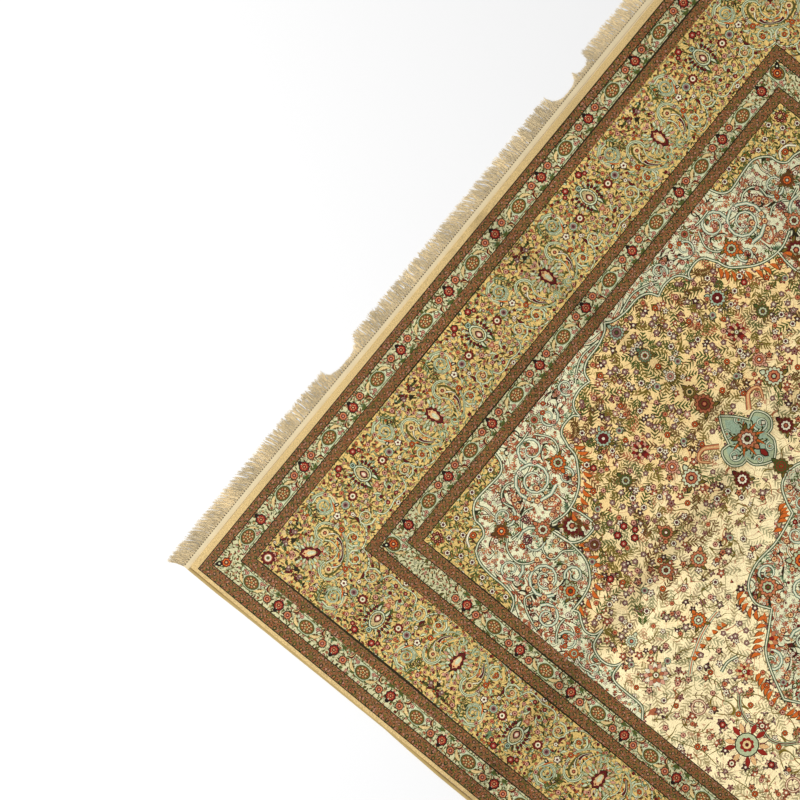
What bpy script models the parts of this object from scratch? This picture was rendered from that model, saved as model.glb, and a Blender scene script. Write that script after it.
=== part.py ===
"""A hand-knotted rug lying flat on a floor.

The rug is five pieces: the knotted pile cloth, a flat-woven web with its fringe at each end,
and an overcast selvage down each side. X runs across the rug and Y along it, and the floor
is z = 0. The edges wander by a few millimetres, as a hand-woven rug's edges do.
"""
import math
import random

import bmesh
import bpy

NAME = "silk_rug"

# Sizes in metres
WIDTH = 2.500
PILE_LENGTH = 2.972
SELVAGE_WIDTH = 0.0105
SELVAGE_EDGE_HEIGHT = 0.0035
SELVAGE_CROWN_HEIGHT = 0.0055
PILE_HEIGHT = 0.0060
WEB_DEPTH = 0.0160
WEB_HEIGHT = 0.0030
GAP = 0.0004

# The pile's surface: a soft swelling all over, and the two creases left by folding
SWELL_HEIGHT = 0.0005
CREASE_HEIGHT = 0.0020
CREASE_HALF_WIDTH = 0.060
CROSS_CREASE_Y = 0.495
PILE_COLUMNS = 24
PILE_ROWS = 30

# The fringe: locks of knotted warp ends
LOCKS_PER_END = 118
LOCK_SEED = 11
LOCK_LENGTH = 0.0460
LOCK_LENGTH_SPREAD = 0.0025
LENGTH_SWELL = 0.07
SWELL_START = 0.45
SWELL_SPAN = 1.10
LOCK_SHARE_OF_PITCH = 0.80
LOCK_LEAN = 0.0170
LOCK_LEAN_SPREAD = 0.0015
LEAN_SWAY = 0.35
SWAY_SPAN = 0.90

# One row for each step along a lock: how far along, how wide for its root, how high
LOCK_STEPS = (
    {"along": 0.35, "width": 0.86, "height": 0.0040},
    {"along": 1.00, "width": 0.50, "height": 0.0025},
)

# How far the left side lies inside its straight line, from the photographed end to the middle
SIDE_WAVE = (
    {"at": 1.486, "inset": -0.0050},
    {"at": 1.390, "inset": -0.0050},
    {"at": 1.290, "inset": -0.0025},
    {"at": 1.140, "inset": -0.0005},
    {"at": 0.940, "inset": 0.0015},
    {"at": 0.760, "inset": 0.0030},
    {"at": 0.640, "inset": -0.0035},
    {"at": 0.500, "inset": -0.0030},
    {"at": 0.250, "inset": -0.0005},
    {"at": 0.000, "inset": 0.0000},
)

# How far the photographed end lies inside its straight line, from left to right
END_WAVE = (
    {"at": -1.250, "inset": 0.0010},
    {"at": -0.950, "inset": -0.0005},
    {"at": -0.600, "inset": 0.0005},
    {"at": -0.350, "inset": 0.0025},
    {"at": 0.050, "inset": 0.0000},
    {"at": 0.400, "inset": -0.0025},
    {"at": 0.650, "inset": -0.0040},
    {"at": 0.950, "inset": -0.0030},
    {"at": 1.250, "inset": 0.0000},
)

# Where the photographed fringe is worn short: the middle of the worn stretch, its half width,
# and the share of the full length that is left there
WORN_STRETCHES = (
    {"at": -0.535, "half_width": 0.070, "left": 0.30},
    {"at": 0.435, "half_width": 0.055, "left": 0.16},
    {"at": 0.515, "half_width": 0.035, "left": 0.34},
)

PILE_COLOUR = (0.45, 0.33, 0.18, 1.0)
WEB_COLOUR = (0.72, 0.60, 0.43, 1.0)
SELVAGE_COLOUR = (0.62, 0.46, 0.24, 1.0)

HALF_WIDTH = WIDTH / 2
PILE_HALF_WIDTH = HALF_WIDTH - SELVAGE_WIDTH
PILE_HALF_LENGTH = PILE_LENGTH / 2


def eased(table, at):
    """Read a table's inset at a place, with a smooth step from each row to the next."""
    rows = sorted(table, key=lambda row: row["at"])
    if at <= rows[0]["at"]:
        return rows[0]["inset"]
    for low, high in zip(rows, rows[1:]):
        if at <= high["at"]:
            share = (at - low["at"]) / (high["at"] - low["at"])
            share = share * share * (3 - 2 * share)
            return low["inset"] + share * (high["inset"] - low["inset"])
    return rows[-1]["inset"]


def side_inset(y, left):
    """The side's inset. The unseen half and the right side repeat the wave turned round."""
    near = y if left else -y
    return eased(SIDE_WAVE, abs(near)) if near > 0 else 0.4 * eased(SIDE_WAVE, abs(near))


def end_inset(x, photographed):
    """The end's inset at x. The unseen end repeats the photographed one turned half round."""
    return eased(END_WAVE, x if photographed else -x)


def placed(across, along, half_width, half_length):
    """A point of the cloth, from -1 to 1 across and along, moved in with the wavy edges."""
    x = across * half_width
    y = along * half_length
    side = side_inset(y, across < 0)
    end = end_inset(x, along > 0)
    return x - across * side, y - along * end


def pile_top(x, y):
    """The height of the pile's surface over the floor."""
    swell = math.sin(2.3 * x + 0.7) * math.cos(1.9 * y - 0.4) + 0.5 * math.sin(5.1 * y + 3.3 * x)
    ridge = math.exp(-((x / CREASE_HALF_WIDTH) ** 2))
    cross = math.exp(-(((y - CROSS_CREASE_Y) / CREASE_HALF_WIDTH) ** 2))
    return PILE_HEIGHT + SWELL_HEIGHT * swell + CREASE_HEIGHT * max(ridge, cross)


def new_material(name, colour, roughness):
    """A plain cloth material."""
    material = bpy.data.materials.new(name)
    material.use_nodes = True
    shader = material.node_tree.nodes["Principled BSDF"]
    shader.inputs["Base Color"].default_value = colour
    shader.inputs["Roughness"].default_value = roughness
    shader.inputs["Metallic"].default_value = 0.0
    return material


def new_object(name, mesh_builder, material):
    """Turn a bmesh into a named object with its material and put it with the rug."""
    bmesh.ops.recalc_face_normals(mesh_builder, faces=mesh_builder.faces[:])
    if mesh_builder.calc_volume(signed=True) < 0:
        bmesh.ops.reverse_faces(mesh_builder, faces=mesh_builder.faces[:])
    mesh = bpy.data.meshes.new(name)
    mesh_builder.to_mesh(mesh)
    mesh_builder.free()
    mesh.materials.append(material)
    piece = bpy.data.objects.new(name, mesh)
    rug.objects.link(piece)
    return piece


def raised_grid(columns, rows):
    """A grid from -1 to 1 with a second layer above it, as a closed slab one unit high."""
    mesh_builder = bmesh.new()
    bmesh.ops.create_grid(mesh_builder, x_segments=columns, y_segments=rows, size=1.0)
    raised = bmesh.ops.extrude_face_region(mesh_builder, geom=mesh_builder.faces[:])
    top = [item for item in raised["geom"] if isinstance(item, bmesh.types.BMVert)]
    bmesh.ops.translate(mesh_builder, verts=top, vec=(0, 0, 1))
    return mesh_builder


def build_pile(material):
    """The knotted cloth: flat underneath, with a softly uneven surface."""
    mesh_builder = raised_grid(PILE_COLUMNS, PILE_ROWS)
    for vert in mesh_builder.verts:
        is_top = vert.co.z > 0.5
        x, y = placed(vert.co.x, vert.co.y, PILE_HALF_WIDTH, PILE_HALF_LENGTH)
        vert.co = (x, y, pile_top(x, y) if is_top else 0.0)
    return new_object("pile_body", mesh_builder, material)


def build_selvage(name, left, material):
    """The overcast binding down one side: a strip with a low crown, beside the pile."""
    mesh_builder = raised_grid(2, PILE_ROWS)
    outward = -1 if left else 1
    width = SELVAGE_WIDTH - GAP
    for vert in mesh_builder.verts:
        is_top = vert.co.z > 0.5
        is_crown = abs(vert.co.x) < 0.5
        edge_x, y = placed(outward, vert.co.y, PILE_HALF_WIDTH, PILE_HALF_LENGTH)
        share_out = (1 + outward * vert.co.x) / 2
        height = SELVAGE_CROWN_HEIGHT if is_crown else SELVAGE_EDGE_HEIGHT
        vert.co = (edge_x + outward * (GAP + share_out * width), y, height if is_top else 0.0)
    return new_object(name, mesh_builder, material)


def worn_share(x):
    """What is left of the fringe's length at x on the photographed end."""
    left = 1.0
    for stretch in WORN_STRETCHES:
        distance = abs(x - stretch["at"]) / stretch["half_width"]
        depth = max(0.0, 1.0 - distance**4)
        left = min(left, 1.0 - (1.0 - stretch["left"]) * depth)
    return left


def plan_locks(photographed):
    """Each lock's middle, length and lean at one end, from left to right. Only one end is worn."""
    dice = random.Random(LOCK_SEED)
    pitch = WIDTH / LOCKS_PER_END
    locks = []
    for index in range(LOCKS_PER_END):
        x = -HALF_WIDTH + (index + 0.5) * pitch
        swell = 1.0 + LENGTH_SWELL * math.sin(2 * math.pi * (x - SWELL_START) / SWELL_SPAN)
        length = LOCK_LENGTH * swell + dice.uniform(-LOCK_LENGTH_SPREAD, LOCK_LENGTH_SPREAD)
        sway = 1.0 + LEAN_SWAY * math.sin(2 * math.pi * x / SWAY_SPAN)
        lean = LOCK_LEAN * sway + dice.uniform(-LOCK_LEAN_SPREAD, LOCK_LEAN_SPREAD)
        left = worn_share(x) if photographed else 1.0
        locks.append({"x": x, "length": length * left, "lean": lean * left})
    return locks, pitch


def column_edges(locks, pitch):
    """The web's column edges: both sides of each lock's root, and the web's two ends."""
    half_root = pitch * LOCK_SHARE_OF_PITCH / 2
    edges = [-HALF_WIDTH]
    for lock in locks:
        edges += [lock["x"] - half_root, lock["x"] + half_root]
    return edges + [HALF_WIDTH]


def pile_end_line():
    """The corners of the pile's photographed end, from left to right."""
    steps = range(PILE_COLUMNS + 1)
    return [placed(2 * i / PILE_COLUMNS - 1, 1, PILE_HALF_WIDTH, PILE_HALF_LENGTH) for i in steps]


def height_on_line(points, x):
    """Where a line through the points passes x. It runs level past its two ends."""
    if x <= points[0][0]:
        return points[0][1]
    for (low_x, low_y), (high_x, high_y) in zip(points, points[1:]):
        if x <= high_x:
            return low_y + (high_y - low_y) * (x - low_x) / (high_x - low_x)
    return points[-1][1]


def shape_web(mesh_builder, edges):
    """Lay the web's columns along the pile's wavy end."""
    by_column = sorted({round(vert.co.x, 6) for vert in mesh_builder.verts})
    place_of = dict(zip(by_column, edges))
    pile_end = pile_end_line()
    for vert in mesh_builder.verts:
        x = place_of[round(vert.co.x, 6)]
        inner = vert.co.y < 0
        is_top = vert.co.z > 0.5
        x -= (x / HALF_WIDTH) * side_inset(PILE_HALF_LENGTH, x < 0)
        y = height_on_line(pile_end, x) + (GAP if inner else WEB_DEPTH)
        vert.co = (x, y, WEB_HEIGHT if is_top else 0.0)


def grow_locks(mesh_builder, locks):
    """Draw each lock out of its root face on the web's outer side, step by step."""
    outer = [f for f in mesh_builder.faces if f.normal.y > 0.5]
    outer.sort(key=lambda face: face.calc_center_median().x)
    tips = outer[1::2]
    roots = [face.calc_center_median() for face in tips]
    half_roots = [max(v.co.x for v in f.verts) - root.x for f, root in zip(tips, roots)]
    for step in LOCK_STEPS:
        grown = bmesh.ops.extrude_discrete_faces(mesh_builder, faces=tips)
        tips = sorted(grown["faces"], key=lambda face: face.calc_center_median().x)
        for face, lock, root, half_root in zip(tips, locks, roots, half_roots):
            middle = face.calc_center_median()
            along = step["along"]
            x = root.x - lock["lean"] * along
            for vert in face.verts:
                side = 1 if vert.co.x > middle.x else -1
                is_top = vert.co.z > middle.z
                vert.co.x = x + side * half_root * step["width"]
                vert.co.y = root.y + lock["length"] * along
                vert.co.z = step["height"] if is_top else 0.0


def build_end(name, photographed, material):
    """The flat-woven web at one end with its fringe. The far end is turned half round."""
    locks, pitch = plan_locks(photographed)
    edges = column_edges(locks, pitch)
    mesh_builder = raised_grid(len(edges) - 1, 1)
    shape_web(mesh_builder, edges)
    bmesh.ops.recalc_face_normals(mesh_builder, faces=mesh_builder.faces[:])
    grow_locks(mesh_builder, locks)
    if not photographed:
        for vert in mesh_builder.verts:
            vert.co.x, vert.co.y = -vert.co.x, -vert.co.y
    return new_object(name, mesh_builder, material)


for old in list(bpy.data.objects):
    bpy.data.objects.remove(old, do_unlink=True)

rug = bpy.data.collections.new(NAME)
bpy.context.scene.collection.children.link(rug)

pile_material = new_material("silk_pile", PILE_COLOUR, 0.55)
web_material = new_material("warp_web", WEB_COLOUR, 0.85)
selvage_material = new_material("selvage_binding", SELVAGE_COLOUR, 0.75)

build_pile(pile_material)
build_selvage("selvage_left", True, selvage_material)
build_selvage("selvage_right", False, selvage_material)
build_end("fringe_end_a", True, web_material)
build_end("fringe_end_b", False, web_material)
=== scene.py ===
# %% [markdown]
# # An oriental silk rug
# A silk rug is one flat cloth, so its looks are nearly all pattern: thousands of knots in a few dyed
# yarns. This lesson draws that pattern as flat coloured shapes, lays them on the rug that the CAD
# part gives, and finishes the edges with woven ends, a fringe and bound sides.

import math
import random

import bmesh
import bpy
import numpy as np
from mathutils import Matrix, Vector
from mathutils.geometry import delaunay_2d_cdt


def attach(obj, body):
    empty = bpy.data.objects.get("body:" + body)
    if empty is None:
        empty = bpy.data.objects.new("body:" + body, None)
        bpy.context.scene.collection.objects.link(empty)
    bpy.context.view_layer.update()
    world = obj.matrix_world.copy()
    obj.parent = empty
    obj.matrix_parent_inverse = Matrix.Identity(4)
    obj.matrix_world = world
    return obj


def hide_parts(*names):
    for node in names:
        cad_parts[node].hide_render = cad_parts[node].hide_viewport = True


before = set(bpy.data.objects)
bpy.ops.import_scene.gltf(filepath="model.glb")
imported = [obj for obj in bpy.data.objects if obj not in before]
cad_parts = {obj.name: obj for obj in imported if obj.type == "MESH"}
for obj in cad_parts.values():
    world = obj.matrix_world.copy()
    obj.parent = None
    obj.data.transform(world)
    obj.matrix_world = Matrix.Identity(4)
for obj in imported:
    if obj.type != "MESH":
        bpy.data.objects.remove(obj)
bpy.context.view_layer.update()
print("the frame's nodes are", sorted(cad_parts))

# %% [markdown]
# The rug lies on a pale floor under soft light, and the camera looks down on one corner of it. A camera is
# placed by where it looks, which way is up in the picture, and what is left over for the right. A matrix made
# from these gives the roll exactly.

# %% Camera
CAMERA_AT = Vector((-0.5765, 1.1914, 4.1420))
CAMERA_BACK = Vector((-0.0133, -0.0333, 0.9994))
CAMERA_UP = Vector((0.7736, 0.6329, 0.0314))
CAMERA_LENS = 67.5
CAMERA_SENSOR = 36.0

camera_data = bpy.data.cameras.new("camera")
camera_data.lens = CAMERA_LENS
camera_data.sensor_width = CAMERA_SENSOR
camera = bpy.data.objects.new("camera", camera_data)
back = CAMERA_BACK.normalized()
right = CAMERA_UP.cross(back).normalized()
turned = Matrix((right, back.cross(right), back)).transposed()
camera.matrix_world = Matrix.Translation(CAMERA_AT) @ turned.to_4x4()
bpy.context.scene.collection.objects.link(camera)
bpy.context.scene.camera = camera
print("camera at", tuple(round(x, 3) for x in CAMERA_AT))

# %% [markdown]
# The chart is drawn in millimetres, with the rug's middle at 0, 0 and the ends up and down. Only the upper
# left quarter is drawn, because the others are its mirror images. Each line of the frames is named, from the
# outside in, with its distance from the middle.

# %% Sizes of the chart
MM = 0.001
SIDE_LINES = {"selvage": 1239.5, "outer": 1229.5, "guard": 1194, "guard_in": 1139, "border": 1106,
              "border_in": 901, "second": 867, "second_in": 813, "field": 779}
END_LINES = {"selvage": 1486, "outer": 1467, "guard": 1440.5, "guard_in": 1389, "border": 1357,
             "border_in": 1146, "second": 1116, "second_in": 1067, "field": 1033.5}
QUARTER = ((-1239.5, 0), (-1239.5, 1486), (0, 1486), (0, 0))


def marks(numbers):
    """Places on the quarter, from pairs of numbers: how far out from the middle, and how far up."""
    return np.reshape(numbers, (-1, 2)) * (-1.0, 1.0)


print("a quarter of", len(SIDE_LINES), "frame lines")

# %% [markdown]
# Every yarn has a name and one dyed colour. The numbers are the colours as a screen shows them, and Blender
# works in linear light, so they are converted once here. Grounds with small sowing on them have a yarn of
# their own, and a number by which the material finds them.

# %% Yarn colours
YARNS = {
    "gold": (214, 184, 120), "straw": (224, 194, 134), "cream": (240, 222, 170), "ivory": (236, 226, 192),
    "sage": (176, 184, 142), "mist": (208, 212, 172), "teal": (100, 124, 88), "sky": (162, 182, 152),
    "moss": (88, 84, 36), "rose": (172, 98, 64), "line": (42, 36, 18), "maroon": (96, 26, 22),
    "black": (32, 22, 14), "red": (142, 38, 26), "orange": (204, 100, 36), "coral": (196, 118, 78),
    "peach": (226, 180, 122), "pink": (208, 152, 124), "mauve": (146, 110, 96), "plum": (84, 42, 44),
    "olive": (116, 98, 36), "brown": (100, 66, 28), "leaf": (74, 86, 34), "tan": (198, 172, 120),
    "honey": (216, 186, 128), "open_gold": (230, 194, 116), "open_straw": (246, 212, 146),
    "open_mist": (230, 226, 184), "open_rust": (138, 98, 66), "guard_mist": (206, 200, 154),
}
SOWN = {"open_gold": 1.0, "open_mist": 0.85, "open_straw": 0.7, "guard_mist": 0.4, "open_rust": 0.25}
YARN_NAMES = list(YARNS)


def linear(colour):
    """A screen colour, from 0 to 255, as linear light."""
    share = np.asarray(colour, float) / 255
    return np.where(share <= 0.04045, share / 12.92, ((share + 0.055) / 1.055) ** 2.4)


YARN_LIGHT = np.array([linear(colour) for colour in YARNS.values()])
YARN_SOWN = np.array([SOWN.get(name, 0.0) for name in YARNS])
print(len(YARNS), "yarns")

# %% [markdown]
# A motif is a list of flat shapes, each with its yarn, painted one over another. These helpers give the
# outlines that a weaver's motifs are made of: a ring, a scalloped flower, a leaf that bends, and a stroke
# along a smooth line.

# %% Outlines for motifs
def round_outline(radii, angles):
    """Points at those radii and angles about 0, 0, clockwise from the top."""
    return np.column_stack((radii * np.sin(angles), radii * np.cos(angles)))


def ring(radius, sides=10):
    """A round outline about 0, 0."""
    return round_outline(radius, np.arange(sides) * 2 * math.pi / sides)


def scallop(radius, petals, depth):
    """A round outline with that many petals, their notches a share of the radius deep."""
    angles = np.arange(3 * petals) * 2 * math.pi / (3 * petals)
    return round_outline(radius * (1 - depth * (1 - np.abs(np.sin(petals * angles / 2)))), angles)


def blade_outline(along, half, length, bend):
    """A blade from 0, 0 up to length, half as wide at each share along it, and bent sideways."""
    middle = bend * 4 * along * (1 - along)
    sides = np.concatenate((middle + half, (middle - half)[-2:0:-1]))
    return np.column_stack((sides, np.concatenate((along, along[-2:0:-1])) * length))


def lens(length, width, bend=0.0, steps=5):
    """A plain leaf."""
    along = np.linspace(0, 1, steps + 1)
    return blade_outline(along, 0.5 * width * np.sin(math.pi * along), length, bend)


def saw(length, width, teeth, bend=0.0):
    """A leaf whose two edges are cut in teeth."""
    along = np.linspace(0, 1, 2 * teeth + 1)
    half = 0.5 * width * np.sin(math.pi * along) ** 0.7
    half[1::2] *= 1.25
    half[2:-1:2] *= 0.62
    return blade_outline(along, half, length, bend)


def smooth(points, steps=5):
    """A smooth line through a few points."""
    known = np.asarray(points, float)
    known = np.vstack((2 * known[0] - known[1], known, 2 * known[-1] - known[-2]))
    share = np.linspace(0, 1, steps, endpoint=False)[:, None]
    line = []
    for a, b, c, d in zip(known, known[1:], known[2:], known[3:]):
        line.append(0.5 * (2 * b + (c - a) * share + (2 * a - 5 * b + 4 * c - d) * share**2
                           + (3 * b - a - 3 * c + d) * share**3))
    return np.vstack(line + [known[-2:-1]])


def stroke(line, width, end_width=None):
    """A band along a line, from width to end_width."""
    line = np.asarray(line, float)
    step = np.gradient(line, axis=0)
    step /= np.maximum(np.linalg.norm(step, axis=1), 1e-9)[:, None]
    half = np.linspace(width, width if end_width is None else end_width, len(line))[:, None] / 2
    aside = np.column_stack((-step[:, 1], step[:, 0])) * half
    return np.vstack((line + aside, (line - aside)[::-1]))


def coil(radius, turns, start, inner, steps=9):
    """A spiral line from its outer end, at start degrees, to its heart, at a share of the radius."""
    share = np.linspace(0, 1, int(turns * steps) + 1)
    angles = math.radians(start) + share * turns * 2 * math.pi
    return round_outline(radius * (1 - (1 - inner) * share), angles)


def both_sides(half):
    """A closed outline from the points down its right side."""
    half = np.asarray(half, float)
    return np.vstack((half, (half * (-1, 1))[::-1]))


def heading(line, place):
    """The clockwise turn, in degrees, of a line's step that ends at a place."""
    ahead = line[place] - line[place - 1]
    return math.degrees(math.atan2(ahead[0], ahead[1]))


print("a leaf has", len(lens(20, 6)), "corners")

# %% [markdown]
# A motif is drawn about its own middle and then moved. Nested leaves and rings come back all the time, so
# each has a helper that takes one band for each colour, from the outside in.

# %% Setting shapes in place
def laid(shapes, at=(0, 0), along=(1, 0), across=(0, 1)):
    """Shapes moved so that their two axes point along and across."""
    frame_of = np.array((along, across), float)
    return [(yarn, np.asarray(points, float) @ frame_of + at) for yarn, points in shapes]


def placed(shapes, at, turn=0.0, size=1.0):
    """Shapes turned clockwise by degrees, sized, and put in place."""
    sine = size * math.sin(math.radians(turn))
    cosine = size * math.cos(math.radians(turn))
    return laid(shapes, at, (cosine, -sine), (sine, cosine))


def mirrored(shapes):
    """Shapes and their mirror image across the motif's own upright axis."""
    return shapes + laid(shapes, along=(-1, 0))


def blades(at, turn, *bands):
    """Nested leaves from one foot: a yarn, a length, a width and, if wanted, a bend and steps."""
    return placed([(yarn, lens(*numbers)) for yarn, *numbers in bands], at, turn)


def discs(at, *bands):
    """Nested rings about one middle: a yarn, a radius and a number of sides."""
    return placed([(yarn, ring(*numbers)) for yarn, *numbers in bands], at)


def nested_strokes(line, *bands):
    """One line in nested tapering bands: a yarn, a width and a width at the end."""
    return [(yarn, stroke(line, *widths)) for yarn, *widths in bands]


print("a turned ring starts at", discs((5, 0), ("red", 2, 6))[0][1][0])

# %% [markdown]
# Most flowers are seen from the front, as rings of scalloped petals. A table gives each kind, one row for
# each ring from the outside in: its yarn, its share of the radius, its petals and how deep they are cut.

# %% Flowers
FLOWERS = {
    "coral": (("line", 1.0, 8, 0.15), ("coral", 0.80, 8, 0.2), ("maroon", 0.44, 6, 0.1), ("pink", 0.24, 4)),
    "ember": (("maroon", 1.0, 7, 0.15), ("orange", 0.78, 7, 0.22), ("maroon", 0.52, 6, 0.2),
              ("straw", 0.24, 4)),
    "crown": (("maroon", 1.0, 10, 0.2), ("rose", 0.60, 8), ("ivory", 0.48, 8), ("moss", 0.26, 6)),
    "star": (("plum", 1.0, 5, 0.26), ("ivory", 0.76, 5, 0.32), ("maroon", 0.32, 5)),
    "peach": (("maroon", 1.0, 6, 0.15), ("peach", 0.76, 6, 0.22), ("red", 0.34, 5)),
    "rosebud": (("brown", 1.0, 6, 0.12), ("pink", 0.78, 6, 0.15), ("maroon", 0.44, 5, 0.1)),
    "blush": (("maroon", 1.0, 7, 0.12), ("pink", 0.76, 6, 0.15), ("maroon", 0.36, 5)),
    "mauve": (("moss", 1.0, 11, 0.12), ("sky", 0.84, 10, 0.12), ("mauve", 0.62, 8, 0.1), ("plum", 0.34, 6)),
    "violet": (("plum", 1.0, 5, 0.22), ("mauve", 0.80, 5, 0.34), ("ivory", 0.28, 4)),
    "ink": (("maroon", 1.0, 5, 0.15),),
    "amber": (("brown", 1.0, 8, 0.15), ("coral", 0.76, 8, 0.2), ("red", 0.36, 5)),
    "white": (("brown", 1.0, 6, 0.15), ("ivory", 0.80, 6, 0.28), ("plum", 0.50, 5)),
    "ruby": (("black", 1.0, 6, 0.2), ("red", 0.76, 6, 0.25), ("pink", 0.34, 4)),
}


def flower(kind, radius, at=(0, 0), turn=0.0):
    """A flower seen from the front."""
    shapes = []
    for yarn, share, petals, *depth in FLOWERS[kind]:
        outline = scallop(radius * share, petals, *depth) if depth else ring(radius * share, petals)
        shapes.append((yarn, outline))
    return placed(shapes, at, turn)


def fan(count, spread, inner, outer, width, yarns, middle=0.0):
    """Petals set round like a fan, from inner to outer radius, with the yarns in turn."""
    petal = lens(outer - inner, width, steps=4) + (0, inner)
    shapes = []
    for index in range(count):
        turn = middle + spread * (index / (count - 1) - 0.5)
        shapes += placed([(yarns[index % len(yarns)], petal)], (0, 0), turn)
    return shapes


def edged_fan(count, spread, inner, outer, width, fills, edge="moss", middle=0.0):
    """A fan of petals, each with a rim."""
    shapes = fan(count, spread, inner - 1, outer + 1.2, width + 2.4, (edge,), middle)
    return shapes + fan(count, spread, inner, outer, width, fills, middle)


def palmette(radius, petals, heart="maroon"):
    """A palmette of three scalloped rings, with a pointed tip, round a dark heart."""
    tip = [("line", lens(radius * 0.9, radius * 0.62, 0, 4) + (0, radius * 0.6)),
           (petals[0], lens(radius * 0.68, radius * 0.42, 0, 4) + (0, radius * 0.68))]
    leaves = blades((radius * 0.3, -radius * 0.6), 118, ("line", radius * 0.9, radius * 0.44, 0, 4),
                    ("olive", radius * 0.74, radius * 0.28, 0, 4))
    return tip + mirrored(leaves) + [
        ("brown", scallop(radius, 12, 0.18)), (petals[0], scallop(radius * 0.88, 12, 0.26)),
        (heart, scallop(radius * 0.62, 9, 0.12)), (petals[1], scallop(radius * 0.54, 9, 0.2)),
        (heart, scallop(radius * 0.32, 6, 0.15)), (petals[2], ring(radius * 0.18, 5))]


def lotus(radius, petals=("orange", "coral", "red")):
    """A full lotus with two ranks of edged petals."""
    shapes = edged_fan(13, 340, radius * 0.4, radius, radius * 0.34, petals[:2], "line")
    shapes += edged_fan(9, 320, radius * 0.2, radius * 0.66, radius * 0.30, (petals[2], "straw"), "maroon")
    return shapes + discs((0, 0), ("moss", radius * 0.3, 8), ("ivory", radius * 0.2, 6),
                          ("maroon", radius * 0.1, 5))


print(len(FLOWERS), "kinds of flower")

# %% [markdown]
# Stems, leaves and scrolls tie the flowers together. A leaf is a dark blade with a paler one inside it, a
# sprig is a stem with pairs of leaves, and a scroll is a coil with a rim.

# %% Stems, leaves and scrolls
LEAF_RIM = 1.6


def sprig(line, pairs, size, yarn, stem="olive", open_angle=50):
    """A stem with pairs of small leaves along it, ending in one more leaf."""
    line = smooth(line)
    shapes = [(stem, stroke(line, 2.0, 1.2))]
    for order, place in enumerate(np.linspace(1, len(line) - 1, pairs + 1).astype(int)):
        scale = size * (1.0 - 0.35 * order / pairs)
        for side in (-1, 1) if order < pairs else (0,):
            turn = heading(line, place) + side * open_angle
            shapes += placed([(yarn, lens(1.0, 0.26, steps=3))], line[place], turn, scale)
    return shapes


def vine(points, width=1.8, yarn="olive"):
    """One smooth stem."""
    return [(yarn, stroke(smooth(points), width))]


def edged_vine(points, width, core):
    """A pale stem with a dark rim."""
    return vine(points, width, "moss") + vine(points, core, "mist")


def leaf(length, width, bend=0.0, edge="leaf", fill="sage", rib=None, teeth=0):
    """A bent leaf with a rim and, if wanted, a rib."""
    outer = saw(length, width, teeth, bend) if teeth else lens(length, width, bend, 6)
    inner = lens(length - 3 * LEAF_RIM, width - 2 * LEAF_RIM, bend * 0.94) + (0, 1.5 * LEAF_RIM)
    shapes = [(edge, outer), (fill, inner)]
    if rib:
        middle = lens(length - 6 * LEAF_RIM, max(width * 0.3, 1.4), bend * 0.86)
        shapes.append((rib, middle + (0, 3 * LEAF_RIM)))
    return shapes


def ringlet(centre, radius, start, turns, width, edge, fill):
    """A scroll arm that curls in on itself, with a rim."""
    line = coil(radius, turns, start, 0.22) + centre
    return nested_strokes(line, (edge, width + 2.6, width * 0.5), (fill, width, width * 0.25))


def rimmed(lines, width=6.5, rim="teal", inner="ivory"):
    """Lines in one yarn with a fine pale line inside them."""
    shapes = []
    for line in lines:
        shapes += [("line", stroke(line, width + 2.6)), (rim, stroke(line, width))]
    return shapes + [(inner, stroke(line, width * 0.38)) for line in lines]


def rimmed_scroll(out, up, radius, turns, start, width):
    """A curling pale arm with a dark rim and a rose heart."""
    line = coil(radius, turns, start, 0.2, 12) + (-out, up)
    shapes = nested_strokes(line, ("line", width + 4, width * 0.7), ("sky", width + 0.5, width * 0.4),
                            ("ivory", width * 0.35, width * 0.15))
    return shapes + discs(line[-1], ("rose", 3.4, 5))


def flames_along(points, count, length, side=1):
    """Orange tongues set along one side of a line."""
    line = smooth(points, 6)
    shapes = []
    for place in np.linspace(0, len(line) - 2, count).astype(int):
        turn = heading(line, place + 1) + 62 * side
        shapes += blades(line[place], turn, ("brown", length + 4, 14, 5, 4), ("orange", length, 10, 5, 4))
    return shapes


print("a leaf in", len(leaf(20, 7, rib="mist")), "shapes")

# %% [markdown]
# The chart keeps every shape with the piece of pile it belongs to and the region that it may not leave. A
# weaver works the same way: a border's flowers stop at the border's line.

# %% Chart
chart = []
regions = []


def region(piece, outline, within=None):
    """Register a region of the chart as part of a piece, and return its number."""
    regions.append({"piece": piece, "outline": np.asarray(outline, float), "within": within})
    return len(regions) - 1


def paint(shapes, inside, at=(0, 0), turn=0.0):
    """Put shapes in place and add them to the chart, in painting order, kept inside a region."""
    for yarn, points in placed(shapes, at, turn):
        chart.append({"yarn": YARN_NAMES.index(yarn), "points": points, "inside": inside})


def strew(table, inside, turn, largest=1.0, step=0.0):
    """Paint flowers from rows of a kind, a radius and places, in four sizes by turns."""
    for kind, radius, numbers in table:
        for order, at in enumerate(marks(numbers)):
            paint(flower(kind, radius * (largest - step * (order % 4)), at, turn * order), inside)


def corner_band(outer, inner):
    """The outline of one quarter of a frame, between two of the chart's named lines."""
    x_out, x_in = -SIDE_LINES[outer], -SIDE_LINES[inner]
    y_out, y_in = END_LINES[outer], END_LINES[inner]
    return ((x_out, 0), (x_out, y_out), (0, y_out), (0, y_in), (x_in, y_in), (x_in, 0))


def frame_line(name, width, yarn):
    """A line all along one of the chart's named frames."""
    x, y = -SIDE_LINES[name], END_LINES[name]
    half = width / 2
    return [(yarn, ((x - half, 0), (x - half, y + half), (0, y + half), (0, y - half),
                    (x + half, y - half), (x + half, 0)))]


print("the chart is ready")

# %% [markdown]
# Outermost is a plain gold edge. Inside it come four narrow red-brown guard bands with a dark line at each
# side. Their rings and rosettes are tiny and number thousands, so the pile's material sows them later, and
# here the bands are only their ground.

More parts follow.
